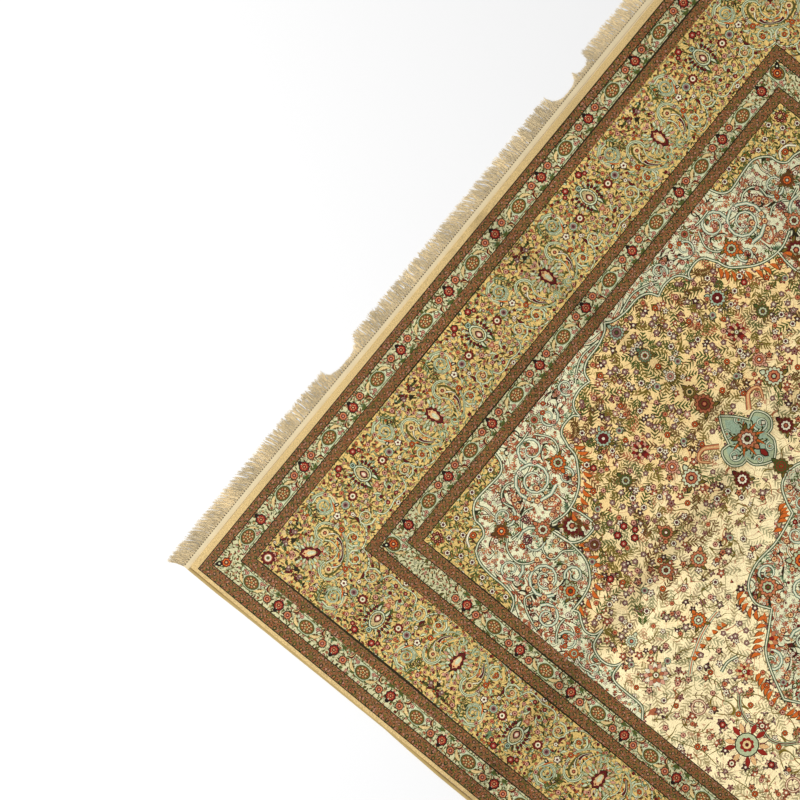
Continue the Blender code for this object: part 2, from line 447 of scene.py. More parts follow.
# %% Plain edge and the red-brown guards
BROWN_GUARDS = (("outer", "guard"), ("guard_in", "border"), ("border_in", "second"), ("second_in", "field"))
LINE_WIDTH = 5.0
edge_region = region("plain_edge", corner_band("selvage", "outer"))
paint([("honey", corner_band("selvage", "outer"))], edge_region)
for outer, inner in BROWN_GUARDS:
    band = region("guards_brown", corner_band(outer, inner))
    paint([("open_rust", corner_band(outer, inner))], band)
    paint(frame_line(outer, LINE_WIDTH, "line") + frame_line(inner, LINE_WIDTH, "line"), band)
print(len(chart), "shapes so far")

# %% [markdown]
# Between the brown guards run two light ones. A red rosette between two coral flowers takes turns with a
# dotted oval between pale crescents. Both groups are drawn about their own middles, with the rug's outer side
# up, and set at their measured places.

# %% Light guards
LIGHT_GUARDS = (
    {"outer": "guard", "inner": "guard_in", "end_rosettes": (0, 203, 411, 617, 828), "end_plain": 1015,
     "end_short": 1074, "side_rosettes": (93, 279, 465, 650, 835, 1035, 1230), "side_short": 1328},
    {"outer": "second", "inner": "second_in", "end_rosettes": (0, 203, 411, 600), "end_plain": 772,
     "end_short": 839, "side_rosettes": (91, 274, 460, 640, 830), "side_short": 1093},
)
# Share of the half length, height, radius.
DOTS = ((0.62, 3, 3.4), (0.76, -1, 3.0), (0.66, -6, 2.6), (0.90, -10, 2.6))


def guard_rosette(full):
    """A red rosette with its cap and bud and, in full, two coral flowers with dark leaves."""
    shapes = []
    if full:
        shapes += blades((6, -21), 76, ("leaf", 26, 7, 3)) + blades((8, -24), 96, ("leaf", 20, 6, -2))
        shapes += blades((14, -22), 40, ("moss", 12, 5)) + discs((20, -14), ("teal", 3.4, 5))
        shapes += placed(leaf(30, 8.5, -5, "line", "brown", "peach"), (38, -6), 148)
        shapes += blades((46, -8), 140, ("maroon", 15, 4.5, -2)) + flower("coral", 13, (36, 8))
        shapes = mirrored(shapes)
    shapes += discs((0, -15), ("pink", 4.5, 6), ("maroon", 2.0, 4))
    shapes += placed([("black", scallop(16, 9, 0.12)), ("red", scallop(13, 9, 0.2)),
                      ("coral", scallop(9, 6, 0.3)), ("maroon", scallop(6, 5, 0.2))], (0, 2))
    shapes += discs((0, 2), ("peach", 2.4, 4))
    return shapes + blades((0, 12), 0, ("black", 13, 13, 0, 4)) + discs((0, 12), ("mist", 1.8, 4))


def guard_cartouche(half=47.0):
    """A long lobed frame round a dotted oval, with a pale crescent at each side."""
    peak = half * 0.42
    arch = smooth(((-half - 4, -21), (-half, -10), (-half * 0.72, 6), (-peak, 17), (0, 20),
                   (peak, 17), (half * 0.72, 6), (half, -10), (half + 4, -21)), 4)
    shapes = [("leaf", np.vstack((arch * (1.02, 1) + (0, 2.6), ((half + 6, -23), (-half - 6, -23))))),
              ("mist", arch), ("moss", arch * (0.87, 0.84) + (0, -2)),
              ("mist", arch * (0.83, 0.78) + (0, -3))]
    side = blades((half * 0.98, -10), -58, ("leaf", 46, 13, 9, 4), ("straw", 42, 9, 9, 4))
    for share, y, radius in DOTS:
        side += discs((half * share, y), ("brown", radius, 5))
    side += flower("blush", 6.5, (half * 0.60, -14)) + flower("rosebud", 4.5, (half * 0.80, -17))
    oval = ring(18.5, 14) * (1.25, 1)
    shapes += mirrored(side) + [("sage", oval * 1.12), ("line", oval), ("olive", oval * 0.90)]
    shapes += [("brown", oval * 0.80)]
    beads = []
    for step in range(10):
        beads += placed([("coral" if step % 2 else "tan", ring(2.7, 5) + (0, 11.2))], (0, 0), 36 * step)
    for step in range(5):
        beads += placed([("honey", ring(2.4, 4) + (0, 5.2))], (0, 0), 72 * step + 20)
    return shapes + laid(beads, along=(1.22, 0)) + [("orange", ring(2.4, 4))]


def between(places):
    """The middles of the gaps between places."""
    return [(low + high) / 2 for low, high in zip(places, places[1:])]


def light_guard(spec):
    """Paint one light guard: its ground, and the groups along its end and its side."""
    outer, inner = spec["outer"], spec["inner"]
    band = region("guards_light", corner_band(outer, inner))
    paint([("guard_mist", corner_band(outer, inner))], band)
    end_y = (END_LINES[outer] + END_LINES[inner]) / 2
    side_x = -(SIDE_LINES[outer] + SIDE_LINES[inner]) / 2
    ends, sides = spec["end_rosettes"], spec["side_rosettes"]
    for x in between(ends + (spec["end_plain"],)):
        paint(guard_cartouche(), band, (-x, end_y))
    for y in [0] + between(sides):
        paint(guard_cartouche(), band, (side_x, y), -90)
    paint(guard_cartouche(37), band, (-spec["end_short"], end_y))
    paint(guard_cartouche(42), band, (side_x, spec["side_short"]), -90)
    for x in ends:
        paint(guard_rosette(True), band, (-x, end_y))
    paint(guard_rosette(False), band, (-spec["end_plain"], end_y))
    for y in sides:
        paint(guard_rosette(True), band, (side_x, y), -90)
    corner_x, corner_y = -SIDE_LINES[outer], END_LINES[outer]
    tear = [("black", lens(28, 15)), ("mist", ring(3.2, 5) + (0, 14))]
    paint(tear, band, (corner_x + 24, corner_y - 20), -50)
    paint(flower("ember", 14), band, (corner_x + 28, corner_y - 24))


for spec in LIGHT_GUARDS:
    light_guard(spec)
print(len(chart), "shapes so far")

# %% [markdown]
# The main border has two palmettes. One is a ragged maroon shield under a small crown, the other an almond on
# two white legs. Each is built round its upright axis, so that half of it can be mirrored.

# %% Palmettes of the main border
def crowned_palmette():
    """A ragged maroon shield round a pale heart, in two ranks of petals, with a crown over it."""
    shapes = edged_fan(21, 300, 31, 48, 7.0, ("mist", "sage", "tan", "sage", "pink"), "moss", 180)
    shapes += edged_fan(17, 300, 18, 33, 6.4, ("sage", "mist", "pink", "mist"), "leaf", 180)
    shield = both_sides(((0, 30), (6, 23), (15, 21), (13, 13), (21, 7), (15, 1), (18, -8), (11, -14),
                         (12, -25), (0, -35)))
    heart = both_sides(((0, 21), (4, 15), (9, 12), (8, 6), (11, 2), (8, -5), (7, -14), (0, -22)))
    shapes += [("black", shield), ("maroon", shield * 0.92), ("peach", heart),
               ("mist", both_sides(((0, 8), (5, 2), (5, -7), (3, -14), (0, -19))))]
    shapes += discs((0, -20), ("moss", 2.6, 6)) + discs((0, 14), ("red", 3.0, 5))
    crown = placed(leaf(17, 6, 3, "line", "maroon"), (3, 36), 62) + discs((7, 48), ("pink", 5.4, 6))
    crown += blades((4, 32), 30, ("straw", 14, 4)) + discs((13, 50), ("maroon", 1.8, 4))
    foot = blades((0, -34), 120, ("moss", 20, 7), ("pink", 17, 4.4)) + blades((0, -44), 128, ("sage", 16, 5))
    shapes += mirrored(crown + foot + blades((2, -38), 100, ("coral", 10, 4)))
    return shapes + flower("rosebud", 6.5, (0, 44)) + discs((0, -36), ("red", 3.2, 5))


def oval_palmette():
    """An almond body with a pale rim and a ring of maroon scallops, on two white legs."""
    almond = both_sides(((0, 29), (7, 27), (14, 18), (19, 5), (19, -8), (14, -18), (6, -24), (0, -25)))
    shapes = fan(29, 310, 22, 45, 3.0, ("line", "sky", "line", "mist"))
    shapes += mirrored(blades((7, -16), 166, ("leaf", 36, 15, -4), ("line", 30, 9, -4), ("mist", 26, 6, -4)))
    for step in range(6):
        middle = (25 + 3.5 * math.sin(0.8 * step), 22 - 10 * step)
        shapes += mirrored(discs(middle, ("black", 5.2, 6), ("maroon", 3.8, 6)))
    shapes += [("black", almond * 1.1), ("mist", almond), ("leaf", almond * 0.84), ("tan", almond * 0.74)]
    for step in range(12):
        shapes += placed([("line", ring(1.7, 4) + (0, 17.0))], (0, 0), 30 * step)
    heart = both_sides(((0, 14), (7, 8), (10, 0), (8, -8), (0, -14)))
    for yarn, share in (("black", 1.0), ("maroon", 0.84), ("pink", 0.62), ("ivory", 0.36)):
        shapes += laid([(yarn, heart * share)], at=(0, -3))
    shapes += discs((0, 36), ("line", 9, 9), ("sky", 7.4, 9), ("line", 4.4, 6), ("sky", 1.6, 4))
    return shapes + placed([("rose", scallop(8, 5, 0.2)), ("pink", ring(4.5, 5))], (0, -49))


crowned, oval = crowned_palmette(), oval_palmette()
print(len(crowned), "and", len(oval), "shapes in the two palmettes")

# %% [markdown]
# The main border repeats one unit, from the middle of a crowned palmette to the middle of an oval one, and
# mirrors it at both. Two numbers give a place in it: how far along the border, and how deep from its outer
# line.

# %% One unit of the main border
BORDER_UNIT = 251.0
# Kind, along, deep, radius.
UNIT_FLOWERS = (
    ("rosebud", 8, 5, 4.5), ("rosebud", 55, 9, 6.5), ("blush", 64, 29, 8), ("rosebud", 53, 47, 6),
    ("rosebud", 41, 65, 6), ("rosebud", 31, 79, 6), ("ink", 33, 62, 4.5), ("star", 122, 97, 12),
    ("mauve", 158, 95, 14), ("crown", 188, 95, 15), ("ember", 101, 130, 9), ("rosebud", 146, 34, 7),
    ("ruby", 221, 17, 12), ("ruby", 207, 27, 8), ("ink", 216, 47, 5), ("ink", 204, 68, 5),
    ("amber", 176, 66, 7.5), ("blush", 179, 36, 7), ("ink", 168, 12, 4.5), ("amber", 196, 8, 5),
    ("rosebud", 148, 10, 4.5), ("violet", 190, 48, 5.5), ("blush", 211, 122, 8), ("amber", 228, 111, 5.5),
    ("rosebud", 178, 122, 6.5), ("star", 151, 127, 7.5), ("ink", 133, 116, 4), ("rosebud", 204, 179, 6),
    ("ink", 234, 156, 6), ("ruby", 234, 181, 7), ("blush", 214, 158, 6.5), ("peach", 246, 140, 8),
    ("ember", 106, 170, 7.5), ("peach", 170, 160, 8), ("ink", 152, 184, 5), ("amber", 128, 150, 5.5),
    ("rosebud", 190, 197, 5.5), ("blush", 128, 200, 6), ("peach", 92, 202, 5.5), ("ink", 62, 199, 5),
    ("rosebud", 30, 196, 5.5), ("amber", 74, 12, 5.5), ("star", 250, 203, 8), ("rosebud", 112, 14, 5),
    ("ink", 185, 20, 4), ("amber", 160, 52, 5), ("rosebud", 244, 122, 4.5), ("violet", 96, 104, 5),
    ("ink", 146, 108, 3.6), ("amber", 112, 116, 5), ("violet", 224, 138, 5), ("rosebud", 196, 142, 5),
    ("ink", 222, 200, 4.4),
)
# Yarn, width, then along and deep by turns.
UNIT_VINES = (
    ("olive", 2.6, (88, 4, 90, 22, 84, 40, 78, 62, 70, 78)), ("teal", 2.0, (122, 97, 136, 106, 150, 104)),
    ("teal", 2.0, (166, 88, 176, 80, 184, 84)), ("moss", 1.8, (188, 108, 190, 130, 200, 150, 206, 172)),
    ("olive", 2.0, (251, 128, 236, 126, 222, 112, 204, 110)), ("teal", 1.8, (196, 50, 186, 62, 188, 80)),
    ("moss", 1.8, (216, 47, 226, 36, 222, 22)), ("olive", 1.8, (160, 18, 172, 26, 179, 34)),
    ("teal", 1.8, (101, 138, 92, 150, 80, 152, 68, 166)),
    ("orange", 3.0, (60, 152, 72, 140, 88, 138, 98, 132)),
    ("moss", 1.8, (251, 165, 240, 170, 226, 164, 216, 158)),
    ("olive", 1.8, (110, 205, 122, 196, 140, 196, 152, 188)), ("orange", 3.4, (142, 64, 134, 76, 126, 84)),
    ("straw", 3.0, (200, 118, 214, 132, 232, 134, 251, 118)),
    ("teal", 1.8, (16, 204, 26, 190, 40, 184, 52, 192)), ("moss", 1.8, (170, 110, 160, 122, 148, 134)),
)
# Along, deep, length, width, turn, rim, fill.
UNIT_LEAVES = (
    (60, 6, 26, 6, 60, "olive", "sage"), (112, 132, 24, 8, 40, "teal", "mist"),
    (124, 138, 22, 7, 150, "teal", "sage"), (142, 158, 26, 9, 12, "line", "maroon"),
    (200, 84, 24, 6, 40, "teal", "sage"), (176, 104, 18, 6, 200, "teal", "mist"),
    (214, 92, 18, 6, 130, "moss", "sage"), (238, 148, 20, 6, 250, "teal", "sage"),
    (216, 176, 22, 6, 80, "teal", "mist"), (186, 182, 20, 6, 20, "teal", "sage"),
    (78, 168, 22, 7, 170, "teal", "mist"), (18, 172, 24, 6, 140, "teal", "mist"),
    (6, 186, 18, 5, 110, "moss", "pink"), (44, 196, 18, 6, 40, "teal", "sage"),
    (152, 30, 18, 5, 10, "teal", "sky"), (196, 58, 20, 5, 250, "moss", "sky"),
    (168, 134, 20, 6, 60, "teal", "mist"), (146, 196, 22, 6, 80, "moss", "sage"),
    (230, 60, 16, 5, 10, "moss", "sage"), (96, 88, 18, 6, 60, "moss", "sage"),
    (108, 188, 18, 6, 230, "teal", "sky"),
)


def comma_leaf():
    """The big sickle leaf beside the crowned palmette, open in the middle, with nested rims."""
    rim = smooth(((45, -110), (44, -93), (54, -78), (70, -73), (86, -81), (96, -100), (99, -124), (93, -148),
                  (79, -168), (60, -183), (40, -190)), 4)
    foot = smooth(((52, -112), (60, -130), (56, -154), (40, -182)), 4)
    spine = smooth(((68, -84), (82, -98), (86, -124), (80, -148), (62, -172)), 4)
    hook = smooth(((70, -110), (80, -120), (84, -134)), 4)
    tail = smooth(((76, -134), (74, -150), (58, -172)), 4)
    shapes = nested_strokes(foot, ("moss", 5.5, 3), ("mist", 3.2, 1.5))
    shapes += nested_strokes(spine, ("moss", 7, 3))
    shapes += nested_strokes(rim, ("moss", 11, 4.5), ("mist", 8.4, 3), ("sage", 3.6, 1.4), ("leaf", 1.6, 0.8))
    shapes += placed([("olive", scallop(13, 9, 0.1)), ("straw", ring(11, 9)), ("maroon", scallop(6, 6, 0.2)),
                      ("coral", ring(3, 5))], (67, -100))
    shapes += nested_strokes(hook, ("line", 7, 2.5), ("ivory", 3.8, 1))
    return shapes + nested_strokes(tail, ("ivory", 11, 3), ("black", 8, 2), ("maroon", 4, 1))


def border_scrolls():
    """The ringed scrolls and heavy stems of one unit."""
    shapes = ringlet((121, -50), 43, -80, 1.6, 6.5, "moss", "sage")
    shapes += ringlet((122, -50), 33, -30, 1.9, 4, "moss", "mist")
    shapes += ringlet((121, -51), 22, 100, 2.0, 3.6, "olive", "sky")
    shapes += vine(((94, -82), (110, -92), (134, -88), (152, -66), (154, -40)), 4.0, "straw")
    shapes += ringlet((103, -170), 23, 200, 1.4, 4.4, "moss", "mist")
    shapes += ringlet((168, -160), 25, 150, 1.5, 4.4, "moss", "mist")
    shapes += edged_vine(((84, -200), (100, -206), (124, -198), (140, -184), (148, -168)), 6.4, 3.6)
    shapes += edged_vine(((192, -168), (202, -190), (222, -196), (251, -190)), 5.8, 3.2)
    shapes += ringlet((27, -180), 15, 220, 0.9, 4, "teal", "sage")
    return shapes + ringlet((226, -152), 16, 0, 0.8, 4, "teal", "mist")


def bouquet():
    """The dark leaves and violets at the crowned palmette's side."""
    shapes = placed(leaf(22, 9, 4, "black", "maroon"), (3, -27), 58)
    shapes += blades((2, -30), 112, ("maroon", 14, 7))
    shapes += blades((12, -34), 52, ("line", 18, 10), ("mauve", 14, 6)) + flower("violet", 7, (20, -36))
    shapes += placed(leaf(16, 8, 2, "line", "leaf"), (22, -26), 80)
    shapes += placed(leaf(16, 8, -2, "line", "leaf"), (24, -40), 116)
    shapes += blades((38, -30), 20, ("line", 12, 7)) + discs((46, -20), ("maroon", 3.4, 5))
    shapes += blades((0, -20), 20, ("straw", 18, 6))
    shapes += [("line", both_sides(((0, -36), (5, -42), (12, -51), (4, -50), (0, -53))))]
    return shapes + discs((0, -59), ("straw", 3.2, 6))


def border_unit():
    """Half a repeat of the main border, from the crowned palmette's axis to the oval one's."""
    shapes = border_scrolls()
    for at in ((128, -195), (136, -187), (143, -177), (186, -146), (191, -156), (193, -166)):
        shapes += discs(at, ("black", 2.3, 5))
    shapes += placed([("black", lens(20, 11, 3)), ("ivory", lens(9, 4, 1, 3) + (2, 4))], (150, -82), -64)
    for yarn, width, numbers in UNIT_VINES:
        shapes += vine(np.reshape(numbers, (-1, 2)) * (1, -1), width, yarn)
    shapes += sprig(((95, -10), (92, -34), (84, -56), (86, -76)), 6, 19, "leaf", "line", 62)
    shapes += sprig(((104, -40), (92, -48), (80, -58)), 3, 13, "line", "line", 55)
    shapes += blades((78, -68), 200, ("black", 14, 8), ("ivory", 10, 4))
    for along, deep, length, width, turn, rim, fill in UNIT_LEAVES:
        shapes += placed(leaf(length, width, width * 0.5, rim, fill), (along, -deep), turn)
    shapes += comma_leaf() + bouquet()
    for kind, along, deep, radius in UNIT_FLOWERS:
        shapes += flower(kind, radius, (along, -deep), 7 * along)
    return shapes


unit = border_unit()
print(len(unit), "shapes in a unit of the main border")

# %% [markdown]
# The units meet at the corner on a slant. Both arms of the border run on to the diagonal there, and each unit
# is kept inside its own cell.

# %% Main border
END_AXES = (0, 243, 494, 742, 1004)
SIDE_AXES = (0, 251, 502, 752, 996, 1255)
OUTER_X, OUTER_Y = -SIDE_LINES["border"], END_LINES["border"]
INNER_X, INNER_Y = -SIDE_LINES["border_in"], END_LINES["border_in"]
end_arm = region("border_ends", ((0, OUTER_Y), (0, INNER_Y), (INNER_X, INNER_Y), (OUTER_X, OUTER_Y)))
side_arm = region("border_sides", ((OUTER_X, 0), (INNER_X, 0), (INNER_X, INNER_Y), (OUTER_X, OUTER_Y)))
for arm in (end_arm, side_arm):
    paint([("open_gold", corner_band("border", "border_in"))], arm)


def arm_cell(arm, start, end):
    """Paint one unit along an arm, from its crowned palmette's axis at start to end, in its own cell."""
    way = (end - start) / BORDER_UNIT
    if arm == end_arm:
        outline = ((-start, OUTER_Y), (-start, INNER_Y), (-end, INNER_Y), (-end, OUTER_Y))
        shapes = laid(unit, (-start, OUTER_Y), (-way, 0), (0, 1))
    else:
        outline = ((OUTER_X, start), (INNER_X, start), (INNER_X, end), (OUTER_X, end))
        shapes = laid(unit, (OUTER_X, start), (0, way), (-1, 0))
    paint(shapes, region(regions[arm]["piece"], outline, arm))


def arm_cells(arm, axes, crowned_first):
    """Paint the units along an arm, mirrored by turns, and one more past the corner's axis."""
    for order, (low, high) in enumerate(zip(axes, axes[1:])):
        from_low = (order % 2 == 0) == crowned_first
        arm_cell(arm, low if from_low else high, high if from_low else low)
    arm_cell(arm, axes[-1], axes[-1] + BORDER_UNIT)


arm_cells(end_arm, END_AXES, True)
arm_cells(side_arm, SIDE_AXES, False)
print(len(chart), "shapes so far")

# %% [markdown]
# Palmettes stand where two units mirror each other, and one turned by half a right angle sits on the corner's
# join, as weavers draw it. They are painted after the units, to cover the joins.

# %% Palmettes on the axes
CROWNED_DEPTH = 125
OVAL_DEPTH = 77
for order, x in enumerate(END_AXES[:-1]):
    shapes, depth = (oval, OVAL_DEPTH) if order % 2 else (crowned, CROWNED_DEPTH)
    paint(shapes, end_arm, (-x, OUTER_Y - depth))
for order, y in enumerate(SIDE_AXES[:-1]):
    shapes, depth = (crowned, CROWNED_DEPTH) if order % 2 else (oval, OVAL_DEPTH)
    paint(shapes, side_arm, (OUTER_X + depth, y), -90)
corner_palmette = placed(crowned, (-END_AXES[-1], SIDE_AXES[-1]), -45)
corner_palmette += flower("crown", 21, (OUTER_X + 21, OUTER_Y - 22))
for arm in (end_arm, side_arm):
    paint(corner_palmette, arm)
print(len(chart), "shapes so far")

# %% [markdown]
# The field is the ground inside all borders. Each corner of it has a pale spandrel with a lobed edge, a
# medallion lies in the middle with a pendant towards each end, and flowers fill the ground. The lobed edges
# are smooth lines that meet in cusps.

# %% Spandrel
LOBED_EDGES = {
    "corner": (
        (470, 1036, 480, 1006, 505, 988, 560, 992, 605, 993, 632, 978, 648, 958),
        (648, 958, 650, 935, 664, 916, 690, 913, 712, 905),
        (712, 905, 730, 875, 737, 830, 737, 790, 742, 755, 755, 735, 779, 725)),
    "end": (
        (0, 1027, 20, 1012, 60, 1002, 110, 1000, 140, 985, 152, 958),
        (152, 958, 165, 962, 190, 965, 222, 958, 238, 940, 243, 920),
        (243, 920, 255, 935, 290, 938, 312, 928, 322, 905, 328, 892),
        (328, 892, 335, 860, 360, 830, 390, 803, 430, 785, 475, 780, 520, 792)),
    "side": (
        (536, 775, 530, 735, 530, 700, 535, 665, 550, 635, 580, 608, 620, 598, 665, 597),
        (665, 597, 660, 580, 675, 560, 688, 535, 680, 510, 655, 501),
        (655, 501, 700, 495, 718, 470, 722, 440, 712, 415, 695, 404),
        (695, 404, 730, 402, 745, 385, 748, 340, 748, 300, 755, 280, 779, 262)),
    "drop": (
        (536, 775, 530, 725, 510, 703, 480, 694, 448, 700, 447, 745, 455, 782),),
}
FIELD_X, FIELD_Y = -SIDE_LINES["field"], END_LINES["field"]
FIELD_OUTLINE = ((FIELD_X, 0), (FIELD_X, FIELD_Y), (0, FIELD_Y), (0, 0))


def lobed(parts):
    """The lines of a lobed edge, cusp to cusp."""
    return [smooth(marks(part), 4) for part in parts]


whole = {name: np.vstack(lobed(parts)) for name, parts in LOBED_EDGES.items()}
field = region("field", FIELD_OUTLINE)
spandrel_outline = np.vstack((whole["corner"], ((FIELD_X, 262),), whole["side"][::-1], whole["drop"][1:-1],
                              whole["end"][::-1], ((0, 1036),)))
corner_outline = np.vstack((whole["corner"], ((FIELD_X - 2, FIELD_Y + 2),)))
spandrel = region("spandrels", spandrel_outline, field)
gold_corner = region("spandrels", corner_outline, field)
paint([("open_straw", FIELD_OUTLINE)], field)
paint([("open_mist", spandrel_outline)], spandrel)
paint([("open_gold", corner_outline)], gold_corner)
print("the spandrel's edge has", len(spandrel_outline), "corners")

# %% [markdown]
# Coiled scrolls, short wavy bands, palmettes and small flowers fill the spandrel. Tables give their places,
# because a weaver sets them by eye to fill the lobes evenly.

# %% Scrolls and flowers of the spandrel
# Out, up, radius, turns, start, width.
SPANDREL_SCROLLS = (
    (460, 905, 62, 2.1, 150, 9), (650, 710, 50, 1.8, 200, 8), (400, 965, 40, 1.5, 250, 7),
    (590, 905, 36, 1.5, 60, 7), (590, 800, 42, 1.5, 330, 7), (690, 800, 36, 1.4, 120, 7),
    (725, 640, 36, 1.5, 20, 7), (300, 985, 30, 1.4, 90, 6), (205, 1000, 24, 1.3, 200, 6),
    (740, 555, 28, 1.4, 0, 6), (755, 450, 24, 1.3, 180, 6), (395, 845, 26, 1.2, 30, 6),
    (590, 655, 28, 1.3, 300, 6),
)
SPANDREL_BANDS = (
    (555, 900, 560, 930, 545, 950, 520, 955, 500, 945), (398, 905, 365, 900, 345, 915, 340, 945, 360, 985),
    (520, 860, 545, 870, 570, 860, 590, 845, 625, 850), (625, 760, 650, 775, 665, 800, 655, 840, 630, 860),
    (700, 710, 725, 720, 745, 700, 760, 670, 770, 640), (420, 1000, 380, 1000, 345, 1010, 320, 1025),
    (60, 1012, 110, 1018, 150, 1005, 180, 985), (540, 700, 560, 720, 590, 725, 600, 745, 590, 770),
    (700, 600, 720, 600, 745, 590, 765, 575), (740, 520, 760, 510, 770, 480, 765, 450),
)
# Place, radius, turn, petals.
SPANDREL_PALMETTES = (
    ((-380, 885), 25, 200, ("orange", "sage", "leaf")), ((-625, 885), 22, -60, ("brown", "orange", "mist")),
    ((-550, 800), 25, 0, ("coral", "mist", "brown")), ((-630, 635), 25, 30, ("sage", "orange", "leaf")),
    ((-490, 745), 30, 180, ("maroon", "mist", "coral")), ((-330, 1010), 18, 90, ("sage", "rose", "leaf")),
    ((-760, 770), 20, 40, ("coral", "leaf", "mist")), ((-755, 520), 16, 90, ("orange", "sage", "rose")),
)
# Kind, radius, then out and up by turns.
SPANDREL_FLOWERS = (
    ("peach", 9, (535, 912, 502, 910, 542, 892, 508, 882, 498, 862, 487, 842, 468, 833, 418, 835, 387, 822,
     408, 805, 478, 805, 502, 807, 472, 885, 375, 820, 552, 753, 590, 738, 548, 733, 624, 760, 652, 756,
     605, 752, 700, 728, 730, 728, 672, 727, 632, 727, 640, 700, 655, 685, 590, 690, 700, 640, 690, 680,
     560, 690, 735, 640, 760, 650)),
    ("blush", 7, (420, 935, 400, 960, 350, 950, 440, 985, 300, 965, 555, 935, 585, 960, 520, 965, 360, 1005,
     265, 965, 230, 1005, 210, 985, 700, 770, 715, 800, 690, 830, 665, 850, 720, 590, 745, 610, 735, 520,
     720, 545, 760, 470, 765, 430, 770, 350)),
    ("ember", 8, (735, 568, 755, 552, 772, 535, 745, 503, 700, 552, 300, 1005, 280, 1020, 590, 850, 620, 815,
     572, 878, 430, 860, 640, 660)),
    ("star", 8, (245, 990, 185, 995, 165, 995, 610, 905, 655, 880, 470, 950, 450, 900, 660, 700, 330, 975,
     685, 600, 760, 590, 768, 500)),
)
for row in SPANDREL_SCROLLS:
    paint(rimmed_scroll(*row), spandrel)
for band in SPANDREL_BANDS:
    paint(rimmed([smooth(marks(band), 4)], 5.5), spandrel)
for at, radius, turn, petals in SPANDREL_PALMETTES:
    paint(palmette(radius, petals), spandrel, at, turn)
strew(SPANDREL_FLOWERS, spandrel, 17, 1.1, 0.07)
for at, radius in (((-598, 815), 14), ((-558, 855), 12)):
    for step in range(6):
        bud = [("plum", ring(radius * 0.42, 6)), ("pink", ring(1.8, 4))]
        paint(laid(bud, (0, radius * 0.7)), spandrel, at, 60 * step)
paint([("red", lens(26, 12) + (-467, 700))] + discs((-445, 690), ("line", 9, 4), ("sage", 6, 4)), spandrel)
print(len(chart), "shapes so far")

# %% [markdown]
# In the very corner the ground turns gold, with feathery fronds, white flowers and a short scroll.

# %% Gold corner
CORNER_FRONDS = (
    (775, 1028, 740, 990, 700, 960, 664, 930), (770, 1030, 700, 1022, 640, 1020, 575, 1008),
    (778, 1020, 762, 960, 752, 900, 750, 850), (620, 1030, 590, 1000, 560, 1000),
    (560, 1032, 530, 1010, 500, 1000), (775, 880, 760, 840, 750, 800), (775, 790, 762, 760, 755, 745),
    (700, 1030, 690, 990, 670, 960), (778, 950, 740, 940, 710, 925),
)
CORNER_WHITES = (
    ("white", 9.5, (712, 1020, 675, 1003, 640, 998, 593, 1015, 548, 1028, 513, 1015, 765, 962, 748, 928,
     742, 893, 757, 845, 770, 800, 757, 762, 700, 960, 730, 985)),
)
CORNER_SCROLL = ((-715, 925), (-700, 945), (-675, 950), (-660, 935))
for line in CORNER_FRONDS:
    paint(sprig(marks(line), 6, 18, "leaf", "olive", 48), gold_corner)
strew(CORNER_WHITES, gold_corner, 23)
for step in range(7):
    paint(laid([("maroon", ring(6, 6)), ("pink", ring(2, 4))], (0, 12)), gold_corner, (-750, 1010), 51 * step)
paint(vine(CORNER_SCROLL, 8, "line") + vine(CORNER_SCROLL, 5, "ivory"), gold_corner)
paint(flower("ember", 11), gold_corner, (-683, 938))
print(len(chart), "shapes so far")

# %% [markdown]
# Orange tongues lick out of the spandrel's lobes, and a green rim with a pale line in it covers the change of
# ground. The rim is painted in each region that it touches.

# %% Flames and rims along the lobed edges
FLAME_ROWS = (
    ((318, 880, 332, 848, 356, 818, 388, 791, 426, 774, 468, 766), 10, 32),
    ((520, 700, 524, 664, 540, 628, 570, 599, 608, 587, 650, 588), 9, 30),
)
for line, count, length in FLAME_ROWS:
    paint(flames_along(marks(line), count, length, -1), field)
rims = rimmed([line for name in ("end", "side", "corner", "drop") for line in lobed(LOBED_EDGES[name])])
for inside in (field, spandrel, gold_corner):
    paint(rims, inside)
print(len(chart), "shapes so far")

# %% [markdown]
# The medallion and its pendants are pale green like the spandrels. The photograph shows little more than one
# side of the medallion, so the rest is finished as such medallions are, with lotus flowers in its lobes and a
# many-petalled rosette in the middle.

# %% Medallion
MEDALLION_EDGE = (
    (0, 385, 40, 370, 65, 335, 80, 300),
    (80, 300, 130, 290, 180, 285, 250, 290, 310, 270, 335, 225, 320, 180),
    (320, 180, 370, 150, 420, 120, 455, 70, 490, 0),
)
PENDANT_EDGE = (
    (0, 622, 18, 600, 34, 574, 44, 552), (44, 552, 70, 556, 84, 535, 84, 510, 66, 492, 46, 490),
    (46, 490, 44, 466, 26, 446, 0, 430),
)
MEDALLION_SCROLLS = (
    (370, 200, 34, 1.5, 90, 8), (430, 90, 34, 1.5, 0, 8), (250, 250, 30, 1.5, 200, 7),
    (120, 255, 30, 1.4, 60, 7), (220, 150, 36, 1.6, 120, 8), (330, 60, 36, 1.6, 330, 8),
    (100, 150, 34, 1.5, 240, 8), (235, 40, 32, 1.5, 20, 7), (40, 300, 24, 1.3, 100, 6),
)
PENDANT_SCROLLS = (
    (56, 522, 22, 1.3, 60, 6), (22, 575, 15, 1.2, 200, 5), (24, 462, 14, 1.2, 320, 5),
)
MEDALLION_FORMS = (
    (lotus(34), (-155, 335), 200), (lotus(36), (-395, 140), 130),
    (palmette(30, ("coral", "sage", "leaf")), (-280, 225), 140),
    (lotus(40, ("rose", "coral", "red")), (0, 255), 0),
    (lotus(38, ("orange", "peach", "red")), (-300, 0), -90),
    (palmette(32, ("sage", "orange", "mist")), (-165, 200), -40), (lotus(32), (-170, 90), -60),
)
